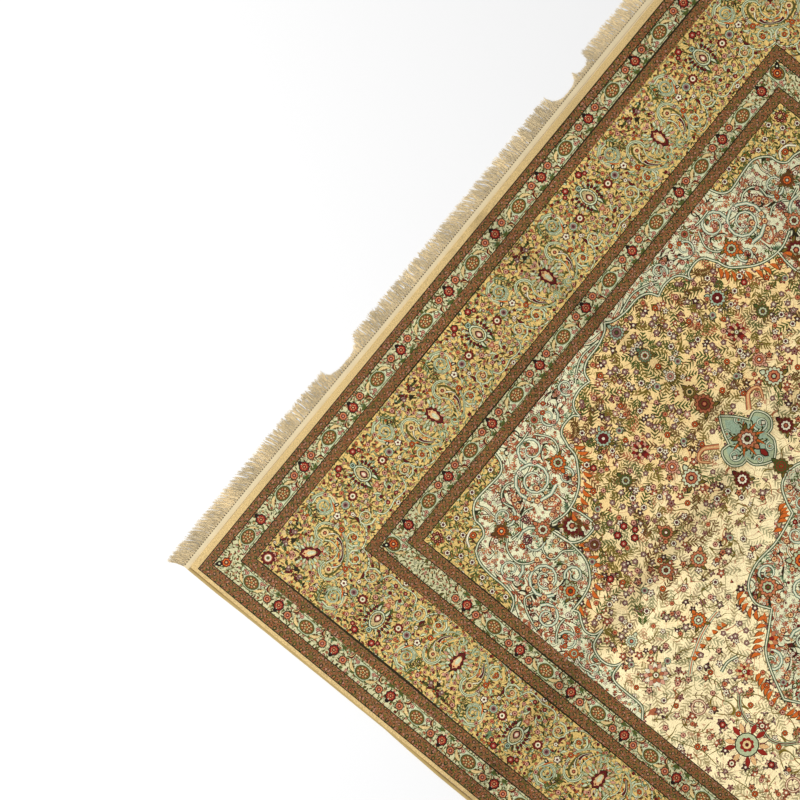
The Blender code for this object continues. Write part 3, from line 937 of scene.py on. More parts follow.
MEDALLION_FLOWERS = (
    ("peach", 9, (60, 330, 30, 350, 210, 260, 150, 265, 290, 180, 345, 120, 400, 60, 440, 30, 80, 210,
     200, 205, 120, 120, 260, 100, 300, 130, 45, 190, 380, 20)),
    ("ruby", 8, (95, 280, 180, 150, 340, 165, 270, 60, 60, 110, 210, 0, 455, 20)),
    ("ink", 5, (20, 310, 130, 225, 235, 190, 310, 95, 410, 105, 70, 170, 150, 30, 350, 30)),
)
medallion_outline = np.vstack(lobed(MEDALLION_EDGE) + [((20, -10), (20, 385))])
medallion = region("medallion", medallion_outline, field)
paint([("open_mist", medallion_outline)], medallion)
pendant_outline = np.vstack(lobed(PENDANT_EDGE))
pendant_outline = np.vstack((pendant_outline, (pendant_outline * (-1, 1))[::-1]))
pendant = region("medallion", pendant_outline, field)
paint([("sage", pendant_outline), ("sky", pendant_outline * 0.82 + (0, 94))], pendant)
for row in MEDALLION_SCROLLS:
    paint(rimmed_scroll(*row), medallion)
for shapes, at, turn in MEDALLION_FORMS:
    paint(shapes, medallion, at, turn)
strew(MEDALLION_FLOWERS, medallion, 31)
rosette = edged_fan(16, 337, 48, 92, 17, ("sage", "coral", "mist", "orange"), "line")
rosette += edged_fan(12, 330, 26, 60, 15, ("rose", "ivory"), "maroon")
rosette += [("line", scallop(36, 12, 0.12)), ("red", scallop(32, 12, 0.14))]
paint(rosette + discs((0, 0), ("straw", 20, 10), ("leaf", 13, 8), ("ivory", 6, 6)), medallion)
print(len(chart), "shapes so far")

# %% [markdown]
# Flames and the same green rim go round the medallion. The pendant has a wheel of toothed leaves and flames
# behind one palmette, all mirrored about the rug's long axis.

# %% Edge of the medallion, and the pendant
FLAMES_ROUND = (
    (70, 330, 90, 302, 140, 284), (330, 268, 350, 225, 335, 182), (345, 172, 400, 142, 440, 120),
    (470, 90, 486, 50, 498, 10),
)
for line in FLAMES_ROUND:
    paint(flames_along(marks(line), 6, 30), field)
for line in lobed(MEDALLION_EDGE):
    for inside in (field, medallion):
        paint(rimmed([line]), inside)
for row in PENDANT_SCROLLS:
    paint(mirrored(rimmed_scroll(*row)), pendant)
for turn in range(20, 180, 40):
    paint(mirrored(placed(leaf(56, 15, 6, "line", "leaf", "mist", 5), (0, 522), turn)), pendant)
    paint(mirrored(blades((0, 522), turn + 18, ("brown", 54, 9, -5, 4), ("orange", 50, 6, -5, 4))), pendant)
paint(palmette(31, ("coral", "ivory", "leaf")), pendant, (0, 524), 180)
paint(mirrored(discs((-62, 518), ("line", 9, 4), ("ivory", 6, 4))), pendant)
paint([("line", both_sides(((0, 482), (10, 470), (8, 456), (0, 448)))),
       ("red", both_sides(((0, 478), (7, 469), (5, 458), (0, 452))))], pendant)
for line in lobed(PENDANT_EDGE):
    for inside in (field, pendant):
        paint(mirrored(rimmed([line], 6)), inside)
print(len(chart), "shapes so far")

# %% [markdown]
# The field is full of flowers on winding stems. Leafy branches come first, since the flowers lie over them.
# Each row of the tables is one branch, as pairs of out and up.

# %% Field branches
FIELD_BRANCHES = (
    (640, 535, 590, 545, 545, 535, 500, 520), (500, 520, 510, 550, 505, 580, 500, 600),
    (450, 520, 390, 530, 320, 520, 250, 500), (580, 420, 560, 440, 545, 465, 530, 490),
    (655, 500, 650, 480, 660, 440), (500, 420, 455, 440, 410, 440, 365, 430),
    (430, 720, 390, 735, 340, 730, 300, 715), (465, 640, 475, 610, 460, 580, 430, 570),
    (390, 565, 365, 580, 352, 610, 355, 640), (300, 860, 270, 840, 240, 800, 230, 760),
    (40, 960, 70, 930, 110, 910, 150, 905), (160, 900, 200, 905, 240, 890, 275, 860),
    (100, 830, 130, 810, 170, 800, 215, 810), (350, 790, 330, 760, 300, 745, 260, 745),
    (480, 755, 470, 720, 440, 700, 400, 700), (60, 760, 95, 745, 120, 715, 130, 680),
    (240, 700, 225, 670, 235, 640, 260, 620), (40, 640, 70, 650, 100, 640, 125, 620),
    (150, 600, 160, 560, 150, 530, 120, 510), (290, 600, 310, 570, 350, 560, 385, 560),
    (200, 540, 230, 520, 270, 510, 310, 515), (20, 900, 45, 880, 60, 850, 55, 820),
    (180, 880, 190, 850, 180, 820, 150, 790), (260, 930, 280, 905, 300, 895),
    (500, 690, 490, 660, 500, 630, 520, 610), (120, 480, 160, 470, 190, 450, 210, 410),
    (330, 480, 300, 450, 260, 440, 220, 450),
)
FIELD_STEMS = (
    (700, 190, 720, 160, 705, 120, 670, 115), (575, 200, 570, 165, 590, 130), (460, 230, 480, 195, 465, 150),
    (760, 240, 735, 215, 700, 220, 660, 230, 620, 215), (700, 350, 680, 330, 640, 330, 600, 350, 560, 345),
    (690, 300, 655, 285, 620, 270), (540, 330, 520, 300, 480, 290), (770, 180, 755, 130, 740, 80, 745, 30),
    (560, 100, 530, 70, 520, 30, 540, 0), (620, 395, 590, 380, 560, 385),
    (440, 380, 420, 350, 430, 320, 400, 300), (380, 380, 340, 370, 300, 350, 260, 355),
    (200, 400, 150, 395, 110, 410), (520, 250, 500, 230, 505, 200), (640, 200, 620, 170, 635, 140),
    (500, 90, 520, 120, 560, 130), (680, 60, 700, 50, 730, 60), (600, 300, 570, 300, 540, 280),
    (350, 320, 370, 350, 400, 360),
)
for order, line in enumerate(FIELD_BRANCHES):
    paint(sprig(marks(line), 10, 20, ("leaf", "olive", "brown")[order % 3], "olive", 42), field)
for order, line in enumerate(FIELD_STEMS):
    leaves = sprig(marks(line), 4, 12, ("olive", "leaf", "brown")[order % 3], "olive", 55)
    paint(vine(marks(line), 2.6, "olive") + leaves, field)
print(len(chart), "shapes so far")

# %% [markdown]
# Larger palmettes and lotus flowers stand where the stems part, with a few bold curved leaves among them. On
# the side axis sits one wide lotus between two crowns.

# %% Field palmettes
CRESCENT = smooth(((-600, 240), (-560, 262), (-500, 282), (-450, 290), (-420, 290)))
ARM = smooth(((-65, 570), (-85, 590), (-100, 600), (-120, 598), (-130, 585), (-115, 562)), 4)
HORN = smooth(((-590, 0), (-600, 40), (-585, 75), (-560, 100)))
SLIP = smooth(((-540, 178), (-510, 182), (-480, 172)), 4)
FLAME_FOOT = ((-560, 268), (-510, 272), (-460, 270), (-430, 262))
paint(rimmed([CRESCENT], 9, "mist", "coral") + flames_along(FLAME_FOOT, 7, 16), field)
paint(nested_strokes(ARM, ("brown", 17, 8), ("coral", 13.5, 5), ("peach", 6, 2)), field)
paint(rimmed([HORN], 8, "sage", "maroon"), field)
paint(rimmed([coil(20, 1.0, 0, 0.9, 12) + (-655, 165)], 5, "coral") + rimmed([SLIP], 7), field)
FIELD_PALMETTES = (
    (palmette(30, ("rose", "brown", "coral")), (0, 675), 0),
    (palmette(30, ("mist", "coral", "sage")), (-180, 575), 20),
    (palmette(26, ("coral", "sage", "straw")), (-340, 420), 60),
    (lotus(35, ("ivory", "pink", "rose")), (-660, 310), 45),
    (lotus(26, ("coral", "straw", "red")), (-500, 130), -30),
    (palmette(24, ("orange", "sage", "ivory")), (-470, 315), 20),
    (palmette(21, ("mauve", "brown", "mist")), (-490, 665), -40),
    (palmette(20, ("mist", "sky", "coral")), (-630, 420), 80),
    (palmette(22, ("leaf", "sage", "olive"), "plum"), (-300, 710), 0),
    (lotus(27, ("red", "pink", "maroon")), (-210, 730), 0),
    (palmette(25, ("maroon", "ivory", "rose")), (-95, 465), 0),
    (palmette(22, ("coral", "leaf", "ivory")), (-340, 535), 0),
    (palmette(22, ("pink", "coral", "ivory")), (-190, 635), 180),
    (palmette(24, ("sky", "mauve", "leaf"), "plum"), (0, 985), 0),
    (palmette(22, ("teal", "mist", "leaf"), "red"), (0, 885), 0),
    (palmette(18, ("ivory", "pink", "sage")), (0, 795), 0),
    (palmette(20, ("olive", "gold", "leaf"), "black"), (0, 727), 0),
    (palmette(24, ("leaf", "moss", "olive"), "red"), (0, 405), 0),
    (palmette(26, ("sky", "maroon", "ivory")), (-250, 830), 30),
    (palmette(24, ("rose", "mist", "brown")), (-420, 470), 200),
)
for shapes, at, turn in FIELD_PALMETTES:
    paint(shapes, field, at, turn)
side_body = edged_fan(17, 330, 30, 62, 13, ("cream", "red", "peach"), "maroon")
side_body += discs((0, 0), ("line", 34, 12), ("sage", 31, 12)) + [("red", scallop(21, 8, 0.2))]
side_body += discs((0, 0), ("straw", 12, 8), ("maroon", 6, 6))
paint(side_body, field, (-650, 0), -90)
paint(flower("crown", 13, (-716, 0)) + flower("crown", 12, (-584, 0)), field)
print(len(chart), "shapes so far")

# %% [markdown]
# Last come the small flowers. Each row of the table is one kind with its radius and its places, and a turn
# that grows from flower to flower keeps them from looking stamped.

# %% Field flowers
# Kind, radius, then out and up by turns.
FIELD_FLOWERS = (
    ("ruby", 12, (430, 632, 400, 635, 437, 605, 387, 605, 405, 592, 535, 572, 650, 85, 330, 800)),
    ("violet", 9, (480, 568, 455, 550, 425, 545, 395, 545, 418, 670, 490, 605, 455, 240, 405, 222, 440, 210,
     410, 197, 435, 175, 525, 160, 540, 250, 55, 980, 85, 960, 210, 940, 80, 925, 70, 900, 100, 893, 50, 875,
     115, 855, 200, 855, 300, 885, 20, 943, 655, 530, 600, 480, 560, 500, 130, 540, 260, 590, 285, 480,
     370, 700, 360, 670, 450, 690, 140, 760, 165, 740, 250, 680, 100, 700, 60, 715, 45, 610, 210, 500)),
    ("white", 10, (325, 665, 325, 625, 275, 610, 315, 580, 175, 690, 150, 660, 350, 500, 380, 475, 180, 485,
     145, 475, 135, 435, 160, 410, 300, 530, 360, 345, 220, 360, 90, 870, 65, 845, 127, 800, 295, 805,
     260, 790, 335, 820, 275, 885, 590, 530, 470, 485, 540, 440, 600, 450, 700, 250, 570, 230)),
    ("ember", 9, (120, 945, 0, 838, 150, 850, 215, 780, 60, 660, 240, 540, 410, 500, 520, 540, 465, 445,
     600, 70, 560, 200, 720, 330, 740, 100, 490, 60, 380, 760, 90, 610, 130, 700, 440, 760, 560, 60,
     690, 215)),
    ("blush", 8, (180, 920, 140, 870, 240, 905, 80, 780, 190, 760, 265, 640, 360, 740, 455, 720, 375, 620,
     470, 530, 560, 560, 620, 500, 430, 400, 400, 330, 280, 410, 100, 420, 640, 250, 600, 160, 520, 20,
     700, 90, 755, 200, 580, 340, 490, 370, 340, 600, 230, 590, 110, 580, 740, 150, 500, 220)),
    ("amber", 8, (110, 980, 160, 825, 230, 850, 310, 770, 90, 740, 150, 620, 205, 655, 290, 660, 390, 660,
     440, 590, 360, 520, 550, 600, 610, 560, 640, 470, 560, 400, 480, 400, 310, 380, 250, 460, 700, 150,
     630, 130, 560, 150, 470, 90, 530, 330, 620, 360)),
    ("mauve", 10, (45, 805, 205, 810, 115, 655, 410, 720, 530, 640, 500, 480, 240, 390, 680, 380, 610, 310,
     455, 30)),
)
strew(FIELD_FLOWERS, field, 19, 1.08, 0.05)
print(len(chart), "shapes in all")

# %% [markdown]
# Overlapping shapes at one height would flicker, and stacked ones would hide faces. A constrained Delaunay
# triangulation fuses all outlines into one flat mesh whose triangles never cross an outline, and each
# triangle takes the yarn of the last shape painted over its middle. No bmesh operator overlays shapes like
# this, so the mesh comes straight from the triangulation.

# %% Triangles of the chart
GRID_STEP = 45.0
WELD = 0.004
CLIP_MARGIN = 60


def covers(outline, points):
    """Whether each point lies inside an outline that may cross itself."""
    x, y = points[:, 0, None], points[:, 1, None]
    x0, y0 = outline[:, 0], outline[:, 1]
    x1, y1 = np.roll(x0, -1), np.roll(y0, -1)
    left_of = (x1 - x0) * (y - y0) - (x - x0) * (y1 - y0)
    winding = ((y0 <= y) & (y1 > y) & (left_of > 0)).sum(1) - ((y0 > y) & (y1 <= y) & (left_of < 0)).sum(1)
    return winding != 0


def triangulate(points, edges):
    """The corners and triangles of a flat mesh with all the edges, and a loose grid between them."""
    across = np.arange(QUARTER[0][0] + GRID_STEP / 2, 0, GRID_STEP)
    along = np.arange(GRID_STEP / 2, QUARTER[1][1], GRID_STEP)
    grid = np.stack(np.meshgrid(across, along), -1).reshape(-1, 2)
    corners = [Vector(point) for point in np.vstack((points, grid))]
    verts, _, faces, _, _, _ = delaunay_2d_cdt(corners, edges, [], 0, WELD, False)
    return np.array([tuple(v) for v in verts]), np.array(faces)


def all_outlines():
    """The points and edges of every outline on the chart."""
    low, high = np.min(QUARTER, axis=0) - CLIP_MARGIN, np.max(QUARTER, axis=0) + CLIP_MARGIN
    points, edges, first = [], [], 0
    for outline in [QUARTER] + [r["outline"] for r in regions] + [s["points"] for s in chart]:
        count = len(outline)
        points.append(np.clip(outline, low, high))
        edges += [(first + i, first + (i + 1) % count) for i in range(count)]
        first += count
    return np.vstack(points), edges


def choose_shapes(verts, triangles):
    """The number of the shape that shows on each triangle, or -1 outside the quarter."""
    middles = verts[triangles].mean(1)
    order = np.argsort(middles[:, 0])
    middles = middles[order]
    top = np.full(len(middles), -1)
    masks = {}

    def spots(outline):
        low, high = np.searchsorted(middles[:, 0], (outline[:, 0].min(), outline[:, 0].max()))
        near = middles[low:high, 1]
        near = low + np.flatnonzero((near >= outline[:, 1].min()) & (near <= outline[:, 1].max()))
        return near[covers(outline, middles[near])]

    def inside(number):
        if number not in masks:
            mask = np.zeros(len(middles), bool)
            mask[spots(regions[number]["outline"])] = True
            if regions[number]["within"] is not None:
                mask &= inside(regions[number]["within"])
            masks[number] = mask
        return masks[number]

    for number, shape in enumerate(chart):
        found = spots(shape["points"])
        top[found[inside(shape["inside"])[found]]] = number
    kept = np.zeros(len(middles), bool)
    kept[spots(np.asarray(QUARTER, float))] = True
    top[~kept] = -1
    back_in_order = np.empty_like(top)
    back_in_order[order] = top
    return back_in_order


rough_verts, rough_triangles = triangulate(*all_outlines())
rough_shapes = choose_shapes(rough_verts, rough_triangles)
print(len(rough_triangles), "triangles at first")

# %% [markdown]
# Most outlines are hidden under later shapes and only cost triangles. So the edges where the yarn or the
# piece changes are picked out, points that hardly bend them are dropped, and what is left is triangulated
# again.

# %% Only what shows
LEAST_BEND = 0.18


def seen_outlines(verts, triangles, labels):
    """Only the edges between triangles of unlike labels, without the points that bend them too little."""
    pairs = np.sort(np.vstack((triangles[:, :2], triangles[:, 1:], triangles[:, ::2])), axis=1)
    owners = np.tile(np.arange(len(triangles)), 3)
    keys = pairs[:, 0].astype(np.int64) * len(verts) + pairs[:, 1]
    order = np.argsort(keys, kind="stable")
    keys, owners = keys[order], owners[order]
    twin = np.flatnonzero(keys[:-1] == keys[1:])
    alike = labels[owners[twin]] == labels[owners[twin + 1]]
    lone = np.ones(len(keys), bool)
    lone[twin] = lone[twin + 1] = False
    beside = {}
    for key in np.concatenate((keys[twin[~alike]], keys[lone & (labels[owners] >= 0)])).tolist():
        low, high = divmod(key, len(verts))
        beside.setdefault(low, set()).add(high)
        beside.setdefault(high, set()).add(low)
    for number in list(beside):
        if len(beside[number]) == 2:
            one, other = beside[number]
            span, here = verts[other] - verts[one], verts[number] - verts[one]
            apart = abs(span[0] * here[1] - span[1] * here[0])
            if apart < LEAST_BEND * max(np.hypot(*span), 1e-9) and other not in beside[one]:
                for end, far in ((one, other), (other, one)):
                    beside[end].discard(number)
                    beside[end].add(far)
                del beside[number]
    numbers = {number: index for index, number in enumerate(beside)}
    edges = [(numbers[a], numbers[b]) for a in beside for b in beside[a] if a < b]
    return verts[list(beside)], edges


shape_yarns = np.array([s["yarn"] for s in chart] + [-1])
piece_names = sorted({r["piece"] for r in regions})
shape_pieces = np.array([piece_names.index(regions[s["inside"]]["piece"]) for s in chart] + [-1])
labels = shape_yarns[rough_shapes] + len(YARNS) * shape_pieces[rough_shapes]
labels = np.where(rough_shapes >= 0, labels, -1)
quarter_verts, quarter_triangles = triangulate(*seen_outlines(rough_verts, rough_triangles, labels))
quarter_shapes = choose_shapes(quarter_verts, quarter_triangles)
shown = quarter_shapes >= 0
quarter_triangles, quarter_shapes = quarter_triangles[shown], quarter_shapes[shown]
print(len(quarter_triangles), "triangles after hidden outlines are left out")

# %% [markdown]
# A rug is never quite straight. The corners of the CAD cloth tell how far each side and end wanders from its
# straight line. The chart is drawn in with them, fully at the edge and less towards the middle. Two old folds
# stand up as soft ridges.

# %% Lay the chart on the cloth
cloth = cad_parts["pile_body"]
cloth_corners = np.array([tuple(vert.co) for vert in cloth.data.vertices])
PILE_HALF_WIDTH = SIDE_LINES["selvage"] * MM
PILE_HALF_LENGTH = END_LINES["selvage"] * MM
PILE_HEIGHT = 0.0060
SWELL_HEIGHT = 0.0005
CREASE_HEIGHT = 0.0020
CREASE_HALF_WIDTH = 0.060
CROSS_CREASE_Y = 0.495
ROW_REACH = 0.006
EDGE_SHARE = 0.98


def edge_wave(axis, side):
    """Where the cloth's edge on one side of an axis lies, as places along it and insets."""
    places, insets = [], []
    half = (PILE_HALF_WIDTH, PILE_HALF_LENGTH)[axis]
    along = cloth_corners[:, 1 - axis]
    for place in np.unique(np.round(along, 3)):
        reach = (cloth_corners[np.abs(along - place) < ROW_REACH, axis] * side).max()
        if reach > half * EDGE_SHARE:
            places.append(place)
            insets.append(half - reach)
    return np.array(places), np.array(insets)


LEFT_WAVE, RIGHT_WAVE = edge_wave(0, -1), edge_wave(0, 1)
FAR_WAVE, NEAR_WAVE = edge_wave(1, 1), edge_wave(1, -1)


def drawn_in(points):
    """Flat points of the cloth, moved with its wandering edges."""
    x, y = points[:, 0], points[:, 1]
    side = np.where(x < 0, np.interp(y, *LEFT_WAVE), np.interp(y, *RIGHT_WAVE))
    end = np.where(y > 0, np.interp(x, *FAR_WAVE), np.interp(x, *NEAR_WAVE))
    return np.column_stack((x - x / PILE_HALF_WIDTH * side, y - y / PILE_HALF_LENGTH * end))


def pile_top(x, y):
    """The height of the pile's surface over the floor."""
    swell = np.sin(2.3 * x + 0.7) * np.cos(1.9 * y - 0.4) + 0.5 * np.sin(5.1 * y + 3.3 * x)
    ridge = np.exp(-((x / CREASE_HALF_WIDTH) ** 2))
    cross = np.exp(-(((y - CROSS_CREASE_Y) / CREASE_HALF_WIDTH) ** 2))
    return PILE_HEIGHT + SWELL_HEIGHT * swell + CREASE_HEIGHT * np.maximum(ridge, cross)


print("left edge insets in mm", np.round(LEFT_WAVE[1] * 1000, 1)[::4])

# %% [markdown]
# Each frame and form of the chart becomes a piece of its own. The quarter is mirrored to all four corners,
# with a tint for each shape, so that two flowers of one kind differ a little. The triangles carry their dye
# and their place on the chart, and bmesh grows walls and a flat back under them.

# %% Pieces of pile
TINT_SEED = 5
TINT_SPREAD = 0.06
DIP = 0.0005
SAME_POINT = 2e-6
WALL_ANGLE = 40
MIRRORS = ((1, 1), (-1, 1), (1, -1), (-1, -1))


def add_piece(name, builder, mesh, sharp_angle):
    """Turn a finished bmesh into a piece of the rug, smooth except at sharp edges."""
    builder.to_mesh(mesh)
    builder.free()
    mesh.shade_smooth()
    mesh.set_sharp_from_angle(angle=math.radians(sharp_angle))
    piece = bpy.data.objects.new(name, mesh)
    bpy.context.scene.collection.objects.link(piece)
    print(name, len(mesh.polygons), "faces")
    return piece


def only(kind, made):
    """The verts, edges or faces among what an operator made."""
    return [item for item in made["geom"] if isinstance(item, kind)]


def pile_piece(name):
    """One piece of the pile: its part of the four quarters, closed by walls and a flat underside."""
    chosen = shape_pieces[quarter_shapes] == piece_names.index(name)
    shapes = quarter_shapes[chosen]
    yarns = shape_yarns[shapes]
    used, triangles = np.unique(quarter_triangles[chosen], return_inverse=True)
    triangles = triangles.reshape(-1, 3)
    corners, faces, colours, places = [], [], [], []
    dice = np.random.default_rng(TINT_SEED)
    for quarter, (flip_x, flip_y) in enumerate(MIRRORS):
        flat = drawn_in(quarter_verts[used] * (flip_x * MM, flip_y * MM))
        corners.append(np.column_stack((flat, pile_top(flat[:, 0], flat[:, 1]))))
        turned_faces = triangles if flip_x * flip_y > 0 else triangles[:, ::-1]
        faces.append(turned_faces + quarter * len(used))
        tints = 1 + TINT_SPREAD * dice.uniform(-1, 1, len(chart))
        light = (YARN_LIGHT[yarns] * tints[shapes, None]).clip(0, 1)
        colours.append(np.column_stack((light, YARN_SOWN[yarns])))
        places.append(quarter_verts[used][turned_faces].reshape(-1, 2) * MM)
    mesh = bpy.data.meshes.new(name)
    mesh.from_pydata(np.vstack(corners).tolist(), [], np.vstack(faces).tolist())
    dye = mesh.color_attributes.new("yarn", "FLOAT_COLOR", "CORNER")
    dye.data.foreach_set("color", np.repeat(np.vstack(colours), 3, axis=0).ravel())
    chart_map = mesh.uv_layers.new(name="chart")
    chart_map.uv.foreach_set("vector", np.vstack(places).ravel())
    builder = bmesh.new()
    builder.from_mesh(mesh)
    bmesh.ops.remove_doubles(builder, verts=builder.verts[:], dist=SAME_POINT)
    rim = [edge for edge in builder.edges if edge.is_boundary]
    grown = bmesh.ops.extrude_edge_only(builder, edges=rim)
    for vert in only(bmesh.types.BMVert, grown):
        vert.co.z = DIP
    low_edges = [edge for edge in only(bmesh.types.BMEdge, grown) if edge.is_boundary]
    bmesh.ops.triangle_fill(builder, edges=low_edges, use_beauty=True)
    bmesh.ops.recalc_face_normals(builder, faces=builder.faces[:])
    return add_piece(name, builder, mesh, WALL_ANGLE)


pile = {name: pile_piece(name) for name in piece_names}

# %% [markdown]
# The other pieces are built with bmesh alone. One helper turns a finished bmesh into an object that rides on
# the rug's one body and takes the material it is given. Another fuses the small faces of a flat underside,
# which nobody sees.

# %% From bmesh to piece
ON_FLOOR = 1e-6
SHARP_ANGLE = 50
ALL_SMOOTH = 180


def finished(name, builder, material, sharp_angle=SHARP_ANGLE):
    """Make a bmesh a named piece with its faces pointing outwards."""
    bmesh.ops.recalc_face_normals(builder, faces=builder.faces[:])
    if builder.calc_volume(signed=True) < 0:
        bmesh.ops.reverse_faces(builder, faces=builder.faces[:])
    piece = add_piece(name, builder, bpy.data.meshes.new(name), sharp_angle)
    piece.data.materials.append(material)
    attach(piece, "root")
    return piece


def flatten_underside(builder):
    """Fuse the small faces that lie on the floor."""
    builder.normal_update()
    lowest = [face for face in builder.faces if max(vert.co.z for vert in face.verts) < ON_FLOOR]
    edges = {edge for face in lowest for edge in face.edges
             if all(other in lowest for other in edge.link_faces)}
    bmesh.ops.dissolve_edges(builder, edges=list(edges), use_verts=False)


print("edges turn sharp from", SHARP_ANGLE, "degrees")

# %% [markdown]
# A material is a tree of nodes. These helpers add nodes to the material that was started last, and each gives
# back the socket that the next one takes.

# %% Helpers for materials
def new_material(name):
    """Start a material. The helpers add their nodes to the last one started."""
    global tree
    material = bpy.data.materials.new(name)
    material.use_nodes = True
    tree = material.node_tree
    return material, tree.nodes["Principled BSDF"]


def node(kind, inputs=(), **settings):
    """Add a node, set its settings, and fill or link its inputs by name or number."""
    made = tree.nodes.new("ShaderNode" + kind)
    for key, value in settings.items():
        setattr(made, key, value)
    for key, value in dict(inputs).items():
        if isinstance(value, bpy.types.NodeSocket):
            tree.links.new(value, made.inputs[key])
        else:
            made.inputs[key].default_value = value
    return made


def maths(operation, first, second=0.0):
    """One step of arithmetic."""
    return node("Math", {0: first, 1: second}, operation=operation).outputs[0]


def times(first, second):
    """Two values multiplied."""
    return maths("MULTIPLY", first, second)


def mapped(value, low_in, high_in, low_out, high_out):
    """A value stretched from one range to another, and kept inside it."""
    return node("MapRange", {"Value": value, "From Min": low_in, "From Max": high_in, "To Min": low_out,
                             "To Max": high_out}).outputs["Result"]


def vector(operation, first, second=(0.0, 0.0, 0.0)):
    """One step of arithmetic on a place."""
    return node("VectorMath", {0: first, 1: second}, operation=operation).outputs[0]


def distance(place):
    """How far a place is from 0, 0."""
    return node("VectorMath", {0: place}, operation="LENGTH").outputs["Value"]


def scaled(place, scale):
    """A place or colour times one number."""
    return node("VectorMath", {0: place, "Scale": scale}, operation="SCALE").outputs[0]


def noise(place, scale, **settings):
    """Soft random clouds from 0 to 1."""
    return node("TexNoise", {"Vector": place, "Scale": scale, **settings}).outputs["Fac"]


def over(share, below, above):
    """One colour laid over another by a share."""
    return node("Mix", {0: share, 6: below, 7: above}, data_type="RGBA").outputs[2]


def add_bump(shader, height, strength, distance):
    """Let a height stand out from the surface."""
    bump = node("Bump", {"Height": height, "Strength": strength, "Distance": distance})
    tree.links.new(bump.outputs["Normal"], shader.inputs["Normal"])


silk, silk_shader = new_material("silk_pile")
print("the silk starts with", len(tree.nodes), "nodes")

# %% [markdown]
# Between the drawn flowers, weavers fill open ground with little curling vines, sprigs, leaves and buds.
# These come from textures laid out on the chart's own map. Each helper gives shares from 0 to 1 that say
# where its form is, and a random number for each form.

# %% Small sowing for open ground
FULL_TURN = 6.28


def dyed(name):
    """A yarn's colour for a socket."""
    return (*YARN_LIGHT[YARN_NAMES.index(name)], 1.0)


def picked(value, yarns):
    """One of several yarns, picked by a value from 0 to 1."""
    names = yarns.split()
    ramp = node("ValToRGB", {"Fac": value})
    ramp.color_ramp.interpolation = "CONSTANT"
    stops = ramp.color_ramp.elements
    for index, name in enumerate(names):
        stop = stops[index] if index < 2 else stops.new(index / len(names))
        stop.position = index / len(names)
        stop.color = dyed(name)
    return ramp.outputs["Color"]


def curling_line(place, scale, apart, thickness, shift):
    """One where a thin line winds over the ground, or a pair of lines if they run apart."""
    moved = vector("ADD", place, (shift, shift * 2, shift))
    waves = noise(moved, scale, Detail=0.0, Distortion=0.8)
    away = maths("ABSOLUTE", maths("SUBTRACT", waves, 0.5))
    return mapped(maths("ABSOLUTE", maths("SUBTRACT", away, apart)), thickness * 0.6, thickness, 1.0, 0.0)


def scattered(place, pitch, shift):
    """Random spots about a pitch apart: how far each point is from one, and the spot's own number."""
    moved = vector("ADD", place, (shift, shift, 0))
    cells = node("TexVoronoi", {"Vector": moved, "Scale": 1 / pitch, "Randomness": 0.85},
                 voronoi_dimensions="2D")
    offset = vector("SUBTRACT", moved, cells.outputs["Position"])
    return offset, node("SeparateColor", {"Color": cells.outputs["Color"]}).outputs


def turned_any_way(offset, number):
    """A place turned about its spot by the spot's own number."""
    angle = times(number, FULL_TURN)
    return node("VectorRotate", {"Vector": offset, "Angle": angle}, rotation_type="Z_AXIS").outputs[0]


def small_leaves(place, pitch, shift, length, width):
    """Small leaves that point any way: one on the rim, one on the blade inside it, and a number."""
    offset, number = scattered(place, pitch, shift)
    reach = distance(vector("MULTIPLY", turned_any_way(offset, number[0]), (2 / width, 2 / length, 0)))
    return mapped(reach, 1.0, 1.15, 1.0, 0.0), mapped(reach, 0.6, 0.75, 1.0, 0.0), number[1]


def small_flowers(place, pitch, shift, radius, petals):
    """Flowers about a pitch apart: one on the rim, on the petals and on the heart, and a number."""
    offset, number = scattered(place, pitch, shift)
    parts = node("SeparateXYZ", {"Vector": offset}).outputs
    wave = maths("COSINE", times(maths("ARCTAN2", parts[1], parts[0]), float(petals)))
    share = maths("DIVIDE", distance(offset), mapped(number[2], 0.0, 1.0, radius * 0.65, radius))
    lobed_share = maths("DIVIDE", share, maths("ADD", times(wave, 0.22), 0.78))
    return (mapped(lobed_share, 0.92, 1.06, 1.0, 0.0), mapped(lobed_share, 0.62, 0.72, 1.0, 0.0),
            mapped(share, 0.20, 0.28, 1.0, 0.0), number[1])


def small_sprigs(place, pitch, shift, length, width, gap):
    """Bent sprigs about a pitch apart: one on the stem and its slanting leaves, and a number."""
    offset, number = scattered(place, pitch, shift)
    along, across, _ = node("SeparateXYZ", {"Vector": turned_any_way(offset, number[0])}).outputs
    squared = maths("POWER", maths("ABSOLUTE", along), 2.0)
    bend = mapped(number[2], 0.0, 1.0, -0.8 / length, 0.8 / length)
    side = maths("ABSOLUTE", maths("ADD", across, times(squared, bend)))
    narrowed = times(maths("SUBTRACT", 1.0, times(squared, 4 / length**2)), width / 2)
    slanted = maths("FRACT", maths("DIVIDE", maths("SUBTRACT", along, side), gap))
    tooth = maths("LESS_THAN", slanted, mapped(side, 0.0, width / 2, 0.62, 0.34))
    stem = maths("LESS_THAN", side, 0.0008)
    return times(maths("LESS_THAN", side, narrowed), maths("MAXIMUM", tooth, stem)), number[1]


def ring_lattice(place, pitch):
    """How far each point is from the middle of its own square, and whether the square is odd."""
    squares = scaled(place, 1 / pitch)
    whole = vector("FLOOR", squares)
    reach = distance(vector("SUBTRACT", vector("SUBTRACT", squares, whole), (0.5, 0.5, 0)))
    square = node("SeparateXYZ", {"Vector": whole}).outputs
    odd = maths("FLOORED_MODULO", maths("ADD", square[0], square[1]), 2.0)
    return reach, maths("GREATER_THAN", odd, 0.5)


